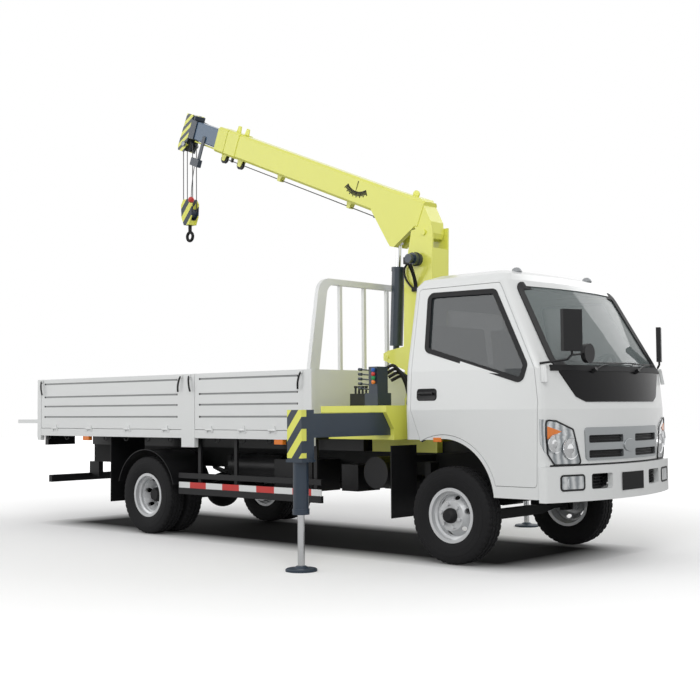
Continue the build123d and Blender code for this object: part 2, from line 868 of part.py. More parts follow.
with BuildPart() as lamp_spaces:
    for lamp in (LAMP_OUTLINE, mirrored(LAMP_OUTLINE)):
        add(front_prism(lamp, 25.0, 0.0, lamp_start))
with BuildPart() as headlamps:
    add(skin(-5.0, 38.0))
    add(lamp_spaces.part, mode=Mode.INTERSECT)
save(headlamps, "headlamps")


# Bumper wrapped round the cab's lower front
fog_lamp_y = 735.0
fog_lamp_z = 685.0
fog_lamp_radius = 52.0
tow_slot = [(290.0, 628.0), (540.0, 628.0), (540.0, 748.0), (290.0, 748.0)]
with BuildPart() as bumper:
    with BuildSketch(Plane.XY.offset(bumper_bottom_z)) as bumper_outline:
        with BuildLine():
            Polyline(
                (fx + bumper_corner, -bumper_half_width),
                (fx + bumper_side_end, -bumper_half_width),
                (fx + bumper_side_end, bumper_half_width),
                (fx + bumper_corner, bumper_half_width),
            )
            ThreePointArc(
                (fx + bumper_corner, bumper_half_width),
                (fx + bumper_front, 0),
                (fx + bumper_corner, -bumper_half_width),
            )
        make_face()
        fillet(bumper_outline.vertices().group_by(Axis.X)[-1], bumper_corner_radius)
    extrude(amount=bumper_top_z - bumper_bottom_z)
    with BuildSketch(Plane.XY.offset(bumper_bottom_z - 1.0)) as bumper_space:
        add(bumper_outline.sketch_local)
        offset(amount=-bumper_wall)
    extrude(amount=bumper_top_z - bumper_bottom_z + 2.0, mode=Mode.SUBTRACT)
    block(
        (fx + bumper_side_end - 1.0, fx + bumper_side_end + bumper_wall + 1.0),
        (bumper_wall - bumper_half_width, bumper_half_width - bumper_wall),
        (bumper_bottom_z - 1.0, bumper_top_z + 1.0),
        mode=Mode.SUBTRACT,
    )
    for points in (tow_slot, mirrored(tow_slot)):
        add(front_prism(points, 20.0, 0.0), mode=Mode.SUBTRACT)
    for side in (-1, 1):
        bar(
            (fx + 700.0, side * fog_lamp_y, fog_lamp_z),
            (fx + 1300.0, side * fog_lamp_y, fog_lamp_z),
            fog_lamp_radius + seat_gap,
            mode=Mode.SUBTRACT,
        )
save(bumper, "bumper")

# Fog lamps, side markers and tail lamps
tail_lamp_x = bed_front - bed_length + 60.0
marker_depth = 44.0
marker_height = 45.0
with BuildPart() as small_lamps:
    for side in (-1, 1):
        bar(
            (fx + 968.0, side * fog_lamp_y, fog_lamp_z),
            (fx + 1004.0, side * fog_lamp_y, fog_lamp_z),
            fog_lamp_radius,
        )
        for marker_x in (-4860.0, -1860.0):
            marker_y = sorted((side * (bed_half_width - marker_depth), side * bed_half_width))
            marker_z = (skirt_bottom_z - marker_height, skirt_bottom_z - seat_gap)
            block((fx + marker_x - 55.0, fx + marker_x + 55.0), marker_y, marker_z)
        lamp_y = sorted((side * 620.0, side * 980.0))
        block((fx + tail_lamp_x - 62.0, fx + tail_lamp_x), lamp_y, (880.0, skirt_bottom_z))
save(small_lamps, "small_lamps")

# Mirrors on arms from the windscreen pillars: middle, turn about the vertical, bottom, top
MIRROR_ROWS = [
    ((fx + 1064.0, -800.0), -25.0, 1690.0, 2010.0),
    ((fx + 893.0, 920.0), 25.0, 1655.0, 1955.0),
]
mirror_arm_radius = 9.0
mirror_depth = 40.0
mirror_width = 170.0
round_mirror_radius = 75.0
pillar_foot = Vector(fx + 866.0, -940.0, 1600.0)
arm_elbow = Vector(fx + 1060.0, -860.0, 1625.0)
round_mirror_centre = Vector(fx + 1070.0, -580.0, 1680.0)
with BuildPart() as mirrors:
    for (mirror_x, mirror_y), turn, low_z, high_z in MIRROR_ROWS:
        with Locations(Location((mirror_x, mirror_y, (low_z + high_z) / 2), (0, 0, turn))):
            Box(mirror_depth, mirror_width, high_z - low_z)
        bar((mirror_x, mirror_y, low_z - 30.0), (mirror_x, mirror_y, low_z + 10.0), mirror_arm_radius)
    right_foot = (fx + 1064.0, -800.0, 1662.0)
    bar(pillar_foot, arm_elbow, mirror_arm_radius)
    bar(arm_elbow, right_foot, mirror_arm_radius)
    bar(right_foot, round_mirror_centre, mirror_arm_radius)
    bar((pillar_foot.X, -pillar_foot.Y, pillar_foot.Z), (fx + 893.0, 920.0, 1628.0), mirror_arm_radius)
    with Locations(Location(round_mirror_centre, (0, 90, 0))):
        Cylinder(round_mirror_radius, mirror_depth)
save(mirrors, "mirrors")

# Dashboard with the steering wheel, and the seats
wheel_centre = Vector(fx + 560.0, 430.0, 1540.0)
steering_radius = 205.0
column_tilt = 35.0
with BuildPart() as dashboard:
    block((fx + 700.0, fx + 1200.0), (-880.0, 880.0), (1180.0, 1500.0))
    add(cab_body(cab_wall + seat_gap), mode=Mode.INTERSECT)
    tilt = Vector(-cos(radians(column_tilt)), 0, sin(radians(column_tilt)))
    bar(wheel_centre - tilt * 230.0, wheel_centre, 28.0)
    with Locations(Plane(origin=wheel_centre, z_dir=tilt)):
        Torus(steering_radius, 15.0)
        Box(2 * steering_radius, 42.0, 18.0)
        Cylinder(52.0, 36.0)
save(dashboard, "dashboard")

with BuildPart() as seats:
    for middle, width in ((-440.0, 760.0), (440.0, 520.0)):
        low_y, high_y = middle - width / 2, middle + width / 2
        block((fx - 330.0, fx + 160.0), (low_y, high_y), (cab_floor_z + seat_gap, 1330.0))
        plate(
            [(fx - 330.0, 1330.0), (fx - 200.0, 1330.0), (fx - 290.0, 1960.0), (fx - 385.0, 1960.0)],
            low_y,
            high_y,
        )
save(seats, "seats")

# Fuel tank, battery box, air tank and air cleaner beside the rails
tank_inner_y = rail_outer_y + seat_gap
with BuildPart() as side_tanks:
    # Left side: fuel tank; right side: battery box, air tank and air cleaner canister
    block((fx - 2750.0, fx - 1850.0), (tank_inner_y, tank_inner_y + 420.0), (470.0, 800.0))
    block((fx - 2250.0, fx - 1750.0), (-tank_inner_y - 380.0, -tank_inner_y), (500.0, 790.0))
    bar((fx - 3050.0, -tank_inner_y - 130.0, 700.0), (fx - 2320.0, -tank_inner_y - 130.0, 700.0), 130.0)
    bar((fx - 1000.0, -tank_inner_y - 345.0, 700.0), (fx - 1000.0, -tank_inner_y, 700.0), 140.0)
    block((fx - 1450.0, fx - 1250.0), (-tank_inner_y - 300.0, -tank_inner_y), (520.0, 760.0))
save(side_tanks, "side_tanks")

# Silencer and tail pipe on the left
with BuildPart() as exhaust:
    bar((fx - 1700.0, silencer_y, silencer_z), (fx - 1050.0, silencer_y, silencer_z), silencer_radius)
    bar((fx - 1055.0, silencer_y, silencer_z), (fx - 850.0, silencer_y - 60.0, silencer_z + 30.0), 32.0)
    block(
        (fx - 1420.0, fx - 1340.0),
        (rail_outer_y + seat_gap, silencer_y),
        (silencer_z + 60.0, silencer_z + 190.0),
    )
save(exhaust, "exhaust")

# Side guards and rear underrun
guard_rear = -3367.0
guard_front = -1392.0
guard_y = 1010.0
guard_rows = [(430.0, 492.0), (588.0, 640.0)]
cross_sills = 9
# The bed's cross sills that carry the side guards' stays
GUARD_SILLS = [5, 6, 8]
underrun_x = bed_front - bed_length + 30.0
underrun_half_width = 910.0
with BuildPart() as guard_rails:
    for side in (-1, 1):
        rail_y = sorted((side * guard_y, side * (guard_y - 30.0)))
        for low, high in guard_rows:
            block((fx + guard_rear, fx + guard_front), rail_y, (low, high))
        for sill in GUARD_SILLS:
            stay_x = bed_front - bed_length + 60.0 + sill * (bed_length - 120.0) / (cross_sills - 1)
            stay_y = sorted((side * (guard_y - 30.0), side * (guard_y - 55.0)))
            block((fx + stay_x - 20.0, fx + stay_x + 20.0), stay_y, (430.0, skirt_bottom_z))
    block((fx + underrun_x - 60.0, fx + underrun_x), (-underrun_half_width, underrun_half_width), (454.0, 534.0))
    for side in (-1, 1):
        stay_y = sorted((side * (rail_outer_y - 60.0), side * rail_outer_y))
        block((fx + underrun_x - 30.0, fx + rail_rear + 90.0), stay_y, (500.0, rail_bottom_z - seat_gap))
save(guard_rails, "guard_rails")

# Rear mudguards over the twin wheels, and flaps behind each axle
mudguard_radius = 470.0
mudguard_wall = 8.0
mudguard_inner_y = 560.0
mudguard_outer_y = 1055.0
flap_distance = 630.0
with BuildPart() as mudguards:
    for side in (-1, 1):
        y_low = min(side * mudguard_inner_y, side * mudguard_outer_y)
        width = mudguard_outer_y - mudguard_inner_y
        with BuildSketch(Plane.XZ.offset(-y_low)) as arch:
            with Locations((rear_axle_x, axle_z)):
                Circle(mudguard_radius)
                Circle(mudguard_radius - mudguard_wall, mode=Mode.SUBTRACT)
            with Locations((rear_axle_x, axle_z - 400.0)):
                Rectangle(2000.0, 1050.0, mode=Mode.SUBTRACT)
        extrude(arch.sketch, amount=-width)
        bracket_y = sorted((side * (rail_outer_y + seat_gap), side * (mudguard_inner_y + 120.0)))
        bracket_z = axle_z + mudguard_radius
        block((rear_axle_x - 25.0, rear_axle_x + 25.0), bracket_y, (bracket_z - 14.0, bracket_z - 2.0))
        rear_flap_y = sorted((side * (mudguard_inner_y + 20.0), side * (mudguard_outer_y - 30.0)))
        flap_x = rear_axle_x - flap_distance
        flap_top_z = bed_floor_z - floor_thickness - seat_gap
        block((flap_x - 4.0, flap_x + 4.0), rear_flap_y, (300.0, flap_top_z))
        front_flap_y = sorted((side * 640.0, side * 980.0))
        block((fx - 606.0, fx - 598.0), front_flap_y, (340.0, 950.0))
        hanger_y = sorted((side * rail_outer_y, side * 640.0))
        block((fx - 606.0, fx - 598.0), hanger_y, (800.0, 860.0))
save(mudguards, "mudguards")

# Bed: floor with its sills and side rails, posts, headboard and guard frame
bed_rear = bed_front - bed_length
mid_post_rear = mid_post_x - mid_post_length / 2
mid_post_front = mid_post_x + mid_post_length / 2
rear_post_front = bed_rear + end_post_length
front_post_rear = bed_front - front_post_length
side_inner_y = bed_half_width - side_thickness
floor_half_width = side_inner_y - 5.0
post_inner_y = floor_half_width
post_outer_y = bed_half_width + 4.0
# Posts: rear end, front end, foot height
POST_ROWS = [
    (bed_rear, rear_post_front, 937.0),
    (mid_post_rear, mid_post_front, 900.0),
    (front_post_rear, bed_front, 937.0),
]
side_hinge_y = bed_half_width + hinge_offset
side_hinge_z = skirt_top_z + 2.0
side_bottom_z = skirt_top_z + 5.0
# Panels: name, rear end, front end, hinge places from the front axle
SIDE_ROWS = [
    ("rear", rear_post_front, mid_post_rear, (-5440.0, -4790.0, -4110.0, -3480.0)),
    ("front", mid_post_front, front_post_rear, (-2810.0, -2340.0, -1930.0)),
]
TAIL_HINGES = [-850.0, -300.0, 300.0, 850.0]
with BuildPart() as bed_floor:
    block(
        (fx + bed_rear, fx + headboard_x - seat_gap),
        (-floor_half_width, floor_half_width),
        (bed_floor_z - floor_thickness, bed_floor_z),
    )
    for index in range(cross_sills):
        sill_x = fx + bed_rear + 60.0 + index * (bed_length - 120.0) / (cross_sills - 1)
        block(
            (sill_x - 30.0, sill_x + 30.0),
            (-floor_half_width, floor_half_width),
            (skirt_bottom_z, bed_floor_z - floor_thickness),
        )
    for side in (-1, 1):
        for place, rear, front, hinges in SIDE_ROWS:
            for hinge_x in hinges:
                axis_at = (fx + hinge_x, side * side_hinge_y, side_hinge_z)
                pin_half = hinge_length / 2 + hinge_lug
                pin_start = (axis_at[0] - pin_half, *axis_at[1:])
                pin_stop = (axis_at[0] + pin_half, *axis_at[1:])
                bar(pin_start, pin_stop, hinge_pin_radius)
                for end in (-1, 1):
                    lug_x = sorted(
                        (
                            axis_at[0] + end * (hinge_length / 2 + 1.0),
                            axis_at[0] + end * (hinge_length / 2 + hinge_lug),
                        )
                    )
                    lug_y = sorted((side * (bed_half_width - 1.0), side * side_hinge_y))
                    block(lug_x, lug_y, (side_hinge_z - 24.0, side_hinge_z))
                    bar((lug_x[0], *axis_at[1:]), (lug_x[1], *axis_at[1:]), hinge_radius)
        sill_y = sorted((side * (rail_outer_y - rail_flange), side * rail_outer_y))
        block((fx + bed_rear + 60.0, fx + bed_front - 20.0), sill_y, (rail_top_z, skirt_bottom_z))
        skirt_y = sorted((side * floor_half_width, side * bed_half_width))
        block((fx + bed_rear, fx + bed_front), skirt_y, (skirt_bottom_z, skirt_top_z))
        for rear, front, foot in POST_ROWS:
            cut_y = sorted((side * floor_half_width, side * (bed_half_width + 50.0)))
            block((fx + rear, fx + front), cut_y, (skirt_bottom_z - 1.0, skirt_top_z + 1.0), mode=Mode.SUBTRACT)
    for hinge_y in TAIL_HINGES:
        pin_half = tail_knuckle_half + hinge_lug
        bar(
            (fx + tail_hinge_x, hinge_y - pin_half, tail_hinge_z),
            (fx + tail_hinge_x, hinge_y + pin_half, tail_hinge_z),
            hinge_pin_radius,
        )
        for end in (-1, 1):
            lug_y = sorted((hinge_y + end * (tail_knuckle_half + 1.0), hinge_y + end * pin_half))
            block(
                (fx + tail_hinge_x, fx + bed_rear + 1.0),
                lug_y,
                (bed_floor_z - floor_thickness, tail_hinge_z),
            )
            bar(
                (fx + tail_hinge_x, lug_y[0], tail_hinge_z),
                (fx + tail_hinge_x, lug_y[1], tail_hinge_z),
                hinge_radius,
            )
save(bed_floor, "bed_floor")

with BuildPart() as bed_posts:
    for side in (-1, 1):
        post_y = sorted((side * post_inner_y, side * post_outer_y))
        for rear, front, foot in POST_ROWS:
            block((fx + rear, fx + front), post_y, (foot, side_top_z))
save(bed_posts, "bed_posts")

board_ribs = [1198.0, 1315.0, 1420.0, 1535.0]
with BuildPart() as headboard:
    block(
        (fx + headboard_x, fx + headboard_x + headboard_thickness),
        (-post_inner_y, post_inner_y),
        (bed_floor_z - floor_thickness + seat_gap, side_top_z),
    )
    for rib_z in board_ribs:
        block(
            (fx + headboard_x, fx + headboard_x + 12.0),
            (-post_inner_y + 60.0, post_inner_y - 60.0),
            (rib_z - 14.0, rib_z + 14.0),
            mode=Mode.SUBTRACT,
        )
save(headboard, "headboard")

guard_x = headboard_x + headboard_thickness / 2
guard_bottom_z = side_top_z + seat_gap
inner_top_z = guard_top_z - guard_top_rail


def upright_frame(foot_half, head_half, bottom_z, top_z, corner):
    """An outline in Y and Z that narrows upward, with round top corners."""
    with BuildSketch(Plane.YZ.offset(fx + guard_x - guard_tube / 2)) as outline:
        with BuildLine():
            Polyline(
                (-foot_half, bottom_z),
                (-head_half, top_z),
                (head_half, top_z),
                (foot_half, bottom_z),
                close=True,
            )
        make_face()
        fillet(outline.vertices().group_by(Axis.Y)[-1], corner)
    return outline.sketch


with BuildPart() as hoop_guard:
    extrude(upright_frame(1080.0, 945.0, guard_bottom_z, guard_top_z, 150.0), amount=guard_tube)
    extrude(
        upright_frame(960.0, 840.0, guard_bottom_z - 1.0, inner_top_z, 95.0),
        amount=guard_tube,
        mode=Mode.SUBTRACT,
    )
    for index in range(guard_bars):
        bar_y = (index - (guard_bars - 1) / 2) * guard_bar_spacing
        block(
            (fx + guard_x - 16.0, fx + guard_x + 16.0),
            (bar_y - 16.0, bar_y + 16.0),
            (guard_bottom_z, inner_top_z + 1.0),
        )
save(hoop_guard, "hoop_guard")

# Drop sides and tailgate
groove_heights = [1198.0, 1315.0, 1420.0, 1566.0]
for side, hand in ((-1, "right"), (1, "left")):
    for place, rear, front, hinges in SIDE_ROWS:
        with BuildPart() as dropside:
            panel_y = sorted((side * side_inner_y, side * bed_half_width))
            panel_x = (fx + rear + side_end_gap, fx + front - side_end_gap)
            block(panel_x, panel_y, (side_bottom_z, side_top_z))
            for groove_z in groove_heights:
                groove_y = sorted((side * (bed_half_width - 8.0), side * (bed_half_width + 1.0)))
                block(
                    (panel_x[0] + 60.0, panel_x[1] - 60.0),
                    groove_y,
                    (groove_z - 9.0, groove_z + 9.0),
                    mode=Mode.SUBTRACT,
                )
            for hinge_x in hinges:
                strap_y = sorted((side * bed_half_width, side * (side_hinge_y - 1.0)))
                strap_x = (fx + hinge_x - hinge_length / 2, fx + hinge_x + hinge_length / 2)
                block(strap_x, strap_y, (side_hinge_z + 4.0, side_hinge_z + 40.0))
                for radius, mode in ((hinge_radius, Mode.ADD), (hinge_pin_radius + running_gap, Mode.SUBTRACT)):
                    bar(
                        (strap_x[0], side * side_hinge_y, side_hinge_z),
                        (strap_x[1], side * side_hinge_y, side_hinge_z),
                        radius,
                        mode=mode,
                    )
        save(dropside, f"dropside_{place}_{hand}")

tail_half_width = floor_half_width - 8.0
tail_z = tail_hinge_z + tail_hinge_offset
with BuildPart() as tailgate:
    block(
        (fx + tail_end, fx + tail_hinge_x - seat_gap),
        (-tail_half_width, tail_half_width),
        (tail_z, tail_z + tail_thickness),
    )
    for hinge_y in TAIL_HINGES:
        knuckle_y = (hinge_y - tail_knuckle_half, hinge_y + tail_knuckle_half)
        block(
            (fx + tail_hinge_x - 60.0, fx + tail_hinge_x - seat_gap),
            knuckle_y,
            (tail_hinge_z, tail_z + 1.0),
        )
        for radius, mode in ((hinge_radius, Mode.ADD), (hinge_pin_radius + running_gap, Mode.SUBTRACT)):
            bar(
                (fx + tail_hinge_x, knuckle_y[0], tail_hinge_z),
                (fx + tail_hinge_x, knuckle_y[1], tail_hinge_z),
                radius,
                mode=mode,
            )
save(tailgate, "tailgate")

# Crane base: cross box with two beam channels, and the slewing bearing
sx = slew_centre_x
beam_gap = telescope_gap
# Beams: side of the jack, name, X of the beam
BEAM_ROWS = [(-1, "right", sx + beam_offset_x), (1, "left", sx - beam_offset_x)]
with BuildPart() as crane_base:
    section(
        [
            (-base_foot_half_width, base_bottom_z),
            (base_foot_half_width, base_bottom_z),
            (base_foot_half_width, base_bottom_z + 90.0),
            (base_half_width, base_top_z - 55.0),
            (base_half_width, base_top_z),
            (-base_half_width, base_top_z),
            (-base_half_width, base_top_z - 55.0),
            (-base_foot_half_width, base_bottom_z + 90.0),
        ],
        sx - base_half_length,
        sx + base_half_length,
    )
    for side, name, beam_x in BEAM_ROWS:
        channel_y = sorted((side * 1200.0, -side * 320.0))
        block(
            (beam_x - beam_width / 2 - beam_gap, beam_x + beam_width / 2 + beam_gap),
            channel_y,
            (beam_z - beam_height / 2 - beam_gap, beam_z + beam_height / 2 + beam_gap),
            mode=Mode.SUBTRACT,
        )
    for side in (-1, 1):
        foot_y = sorted((side * 300.0, side * rail_outer_y))
        block((sx - base_half_length, sx + base_half_length), foot_y, (rail_top_z, base_bottom_z))
    with Locations((sx, 0, base_top_z)):
        Cylinder(
            bearing_radius,
            bearing_top_z - base_top_z - 40.0,
            align=(Align.CENTER, Align.CENTER, Align.MIN),
        )
save(crane_base, "crane_base")

for side, name, beam_x in BEAM_ROWS:
    jack_y = side * (beam_reach + jack_box_width / 2)
    jack_x = beam_x
    with BuildPart() as outrigger_beam:
        beam_y = sorted((side * beam_inner_end, side * beam_reach))
        block(
            (beam_x - beam_width / 2, beam_x + beam_width / 2),
            beam_y,
            (beam_z - beam_height / 2, beam_z + beam_height / 2),
        )
        hollow_y = sorted((side * (beam_inner_end - 1.0), side * (beam_reach - 40.0)))
        block(
            (beam_x - beam_width / 2 + beam_wall, beam_x + beam_width / 2 - beam_wall),
            hollow_y,
            (beam_z - beam_height / 2 + beam_wall, beam_z + beam_height / 2 - beam_wall),
            mode=Mode.SUBTRACT,
        )
        box_y = sorted((side * beam_reach, side * (beam_reach + jack_box_width)))
        block(
            (jack_x - jack_box_length / 2, jack_x + jack_box_length / 2),
            box_y,
            (jack_box_bottom_z, jack_box_top_z),
        )
        bar((jack_x, jack_y, jack_barrel_bottom_z), (jack_x, jack_y, jack_box_bottom_z + 10.0), jack_barrel_radius)
        with Locations((jack_x, jack_y, jack_box_bottom_z - 10.0)):
            Box(jack_box_length + 20.0, jack_box_width + 10.0, 22.0)
        bar(
            (jack_x, jack_y, jack_barrel_bottom_z),
            (jack_x, jack_y, jack_barrel_bottom_z + 45.0),
            jack_barrel_radius + 6.0,
        )
        bar(
            (jack_x, jack_y, jack_barrel_bottom_z - 1.0),
            (jack_x, jack_y, jack_rod_top_z + jack_stroke + 10.0),
            jack_rod_radius + running_gap,
            mode=Mode.SUBTRACT,
        )
    save(outrigger_beam, f"outrigger_beam_{name}")

    with BuildPart() as jack_leg:
        with BuildSketch(Plane(origin=(jack_x, jack_y, 0), x_dir=(1, 0, 0), z_dir=(0, -1, 0))) as leg_outline:
            with BuildLine():
                Polyline(
                    (0, 0),
                    (pad_radius, 0),
                    (pad_radius, pad_thickness - 6.0),
                    (pad_radius - 10.0, pad_thickness),
                    (pad_boss_radius, pad_thickness + 4.0),
                    (pad_boss_radius - 10.0, pad_thickness + pad_boss_height - 6.0),
                    (jack_rod_radius, pad_thickness + pad_boss_height),
                    (jack_rod_radius, jack_rod_top_z),
                    (0, jack_rod_top_z),
                    close=True,
                )
            make_face()
        revolve(leg_outline.sketch, axis=Axis((jack_x, jack_y, 0), (0, 0, 1)))
    save(jack_leg, f"jack_leg_{name}")

# Control station on the right end of the base
station_y = -790.0
lever_count = 5
with BuildPart() as control_station:
    block((sx - 20.0, sx + 130.0), (station_y - 90.0, station_y + 90.0), (base_top_z, base_top_z + 110.0))
    block((sx + 10.0, sx + 110.0), (station_y - 70.0, station_y + 70.0), (base_top_z + 110.0, base_top_z + 340.0))
    for index in range(lever_count):
        lever_z = base_top_z + 140.0 + index * 42.0
        bar((sx + 15.0, station_y - 20.0, lever_z), (sx - 120.0, station_y - 20.0, lever_z + 12.0), 6.0)
        bar((sx - 115.0, station_y - 20.0, lever_z + 11.6), (sx - 150.0, station_y - 20.0, lever_z + 14.7), 13.0)
save(control_station, "control_station")

# Slewing column: turntable, tapered post, fork cheeks and the luff cylinder's foot lugs
px = fx + boom_pin_x
lug_x = fx + luff_foot_x
slot_half = column_half_width - cheek_thickness
with BuildPart() as column:
    with Locations((sx, 0, bearing_top_z - 40.0 + seat_gap)):
        Cylinder(bearing_radius - 10.0, 40.0 - seat_gap, align=(Align.CENTER, Align.CENTER, Align.MIN))
    plate(
        [
            (sx - 175.0, bearing_top_z - 1.0),
            (sx - 190.0, 1620.0),
            (lug_x - 50.0, luff_foot_z - 30.0),
            (lug_x - 50.0, luff_foot_z + 35.0),
            (lug_x + 10.0, luff_foot_z + 60.0),
            (sx - 200.0, luff_foot_z + 90.0),
            (px - 240.0, 2480.0),
            (px - 150.0, column_top_z - 20.0),
            (px + 20.0, column_top_z),
            (px + 100.0, column_top_z),
            (px + 70.0, 1700.0),
            (sx + 150.0, bearing_top_z - 1.0),
        ],
        -column_half_width,
        column_half_width,
    )
    # Fork for the boom's root and the winch
    block((px - 300.0, px + 50.0), (-slot_half, slot_half), (2500.0, 3000.0), mode=Mode.SUBTRACT)
    block((px - 300.0, px + 300.0), (-slot_half, slot_half), (2740.0, 3000.0), mode=Mode.SUBTRACT)
    # Slot for the luff cylinder's foot eye and barrel
    block((lug_x - 100.0, lug_x + 85.0), (-70.0, 70.0), (1500.0, 2600.0), mode=Mode.SUBTRACT)
    bar((px, -column_half_width - 15.0, boom_pin_z), (px, column_half_width + 15.0, boom_pin_z), boom_pin_radius)
    bar((lug_x, -column_half_width - 8.0, luff_foot_z), (lug_x, column_half_width + 8.0, luff_foot_z), luff_pin_radius)
save(column, "column")

# Winch in the fork, with its motor outside the right cheek
wx = fx + winch_x
with BuildPart() as winch:
    bar((wx, -slot_half + seat_gap, winch_z), (wx, slot_half - seat_gap, winch_z), winch_drum_radius)
    for end in (-1, 1):
        flange_y = (end * (slot_half - seat_gap), end * (slot_half - 14.0))
        bar((wx, flange_y[0], winch_z), (wx, flange_y[1], winch_z), winch_flange_radius)
    bar((wx, -column_half_width - seat_gap, winch_z), (wx, -column_half_width - 95.0, winch_z), 58.0)
    bar((wx, -column_half_width - 95.0, winch_z), (wx, -column_half_width - 150.0, winch_z), 40.0)
save(winch, "winch")

# Boom frame: X along the boom from the foot pin, Y square to it, drawn in the truck's middle plane
lift = radians(boom_elevation)
boom_along = Vector(-cos(lift), 0, sin(lift))
boom_up = Vector(sin(lift), 0, cos(lift))


def boom_point(s, t, y=0.0):
    return boom_pin + boom_along * s + boom_up * t + Vector(0, y, 0)


def boom_plane(y):
    """A plane square to the truck's width at Y, with its own X along the boom."""
    return Plane(origin=boom_pin + Vector(0, y, 0), x_dir=boom_along, z_dir=boom_along.cross(boom_up))


boom_side = 1.0 if boom_along.cross(boom_up).Y > 0 else -1.0


def boom_plate(points, y_low, y_high, corner=0.0, mode=Mode.ADD):
    """A plate in the boom's side view between two Y positions."""
    start = y_low if boom_side > 0 else y_high
    with BuildSketch(boom_plane(start)) as outline:
        with BuildLine():
            Polyline(*points, close=True)
        make_face()
        if corner:
            fillet(outline.vertices(), corner)
    extrude(outline.sketch, amount=y_high - y_low, mode=mode)


def boom_box(s_low, s_high, t_middle, height, width, corner, mode=Mode.ADD):
    """A box section with bevelled edges along the boom."""
    plane = Plane(origin=boom_point(s_low, t_middle), x_dir=(0, 1, 0), z_dir=boom_along)
    with BuildSketch(plane) as outline:
        Rectangle(width, height)
        if corner:
            chamfer(outline.vertices(), corner)
    extrude(outline.sketch, amount=s_high - s_low, mode=mode)


boom_middle_t = boom_bottom_t + boom_height / 2
mid_height = boom_height - 2 * boom_wall - 2 * section_gap
mid_width = boom_width - 2 * boom_wall - 2 * section_gap
inner_height = mid_height - 2 * boom_wall - 2 * mid_inner_gap
inner_width = mid_width - 2 * boom_wall - 2 * mid_inner_gap
bevel = 22.0
collar_grow = 12.0
ear_y = 45.0
root_half = boom_width / 2 - 6.0
ear_outline = [
    (boom_base_start + 120.0, boom_bottom_t + 90.0),
    (boom_base_start + 20.0, boom_bottom_t + 30.0),
    (ear_pin_s - 62.0, ear_pin_t - 12.0),
    (ear_pin_s - 38.0, ear_pin_t - 52.0),
    (ear_pin_s + 12.0, ear_pin_t - 60.0),
    (ear_pin_s + 58.0, ear_pin_t - 30.0),
    (735.0, boom_bottom_t + 12.0),
    (700.0, boom_bottom_t + 90.0),
]
with BuildPart() as ears:
    for side in (-1, 1):
        ear_low = min(side * ear_y, side * (boom_width / 2))
        boom_plate(ear_outline, ear_low, ear_low + boom_width / 2 - ear_y)
    boom_box(
        boom_base_start + 60.0,
        boom_base_end,
        boom_middle_t,
        boom_height - 2 * boom_wall,
        boom_width - 2 * boom_wall,
        bevel - 4.0,
        mode=Mode.SUBTRACT,
    )
with BuildPart() as boom_base:
    boom_box(boom_base_start, boom_base_end, boom_middle_t, boom_height, boom_width, bevel)
    boom_box(
        boom_base_end - 1.0,
        boom_base_end + collar_length,
        boom_middle_t,
        boom_height + collar_grow,
        boom_width + collar_grow,
        bevel,
    )
    root_outline = [
        (boom_base_start + 560.0, boom_bottom_t + boom_height - 2.0),
        (180.0, boom_bottom_t + boom_height + 14.0),
        (-15.0, 115.0),
        (-62.0, 20.0),
        (-62.0, -30.0),
        (0.0, -68.0),
        (70.0, -40.0),
        (boom_base_start + 60.0, boom_bottom_t + 20.0),
    ]
    boom_plate(root_outline, -root_half, root_half)
    boom_box(
        boom_base_start + 60.0,
        boom_base_end + 1.0,
        boom_middle_t,
        boom_height - 2 * boom_wall,
        boom_width - 2 * boom_wall,
        bevel - 4.0,
        mode=Mode.SUBTRACT,
    )
    boom_box(
        boom_base_end - 2.0,
        boom_base_end + collar_length + 1.0,
        boom_middle_t,
        mid_height + 2 * telescope_gap,
        mid_width + 2 * telescope_gap,
        bevel - 8.0,
        mode=Mode.SUBTRACT,
    )
    for ear in ears.part.solids():
        add(ear)
    foot = boom_point(0, 0)
    bar(
        (foot.X, -column_half_width, foot.Z),
        (foot.X, column_half_width, foot.Z),
        boom_pin_radius + running_gap,
        mode=Mode.SUBTRACT,
    )
save(boom_base, "boom_base")

with BuildPart() as boom_mid:
    boom_box(boom_mid_start, boom_mid_end, boom_middle_t, mid_height, mid_width, bevel - 8.0)
    boom_box(
        boom_mid_collar_start,
        boom_mid_end,
        boom_middle_t,
        boom_height + collar_grow,
        boom_width + collar_grow,
        bevel,
    )
    boom_box(
        boom_mid_start - 1.0,
        boom_mid_collar_start,
        boom_middle_t,
        mid_height - 2 * boom_wall,
        mid_width - 2 * boom_wall,
        bevel - 10.0,
        mode=Mode.SUBTRACT,
    )
    boom_box(
        boom_mid_start,
        boom_mid_end + 1.0,
        boom_middle_t,
        inner_height + 2 * telescope_gap,
        inner_width + 2 * telescope_gap,
        bevel - 10.0,
        mode=Mode.SUBTRACT,
    )
save(boom_mid, "boom_mid")

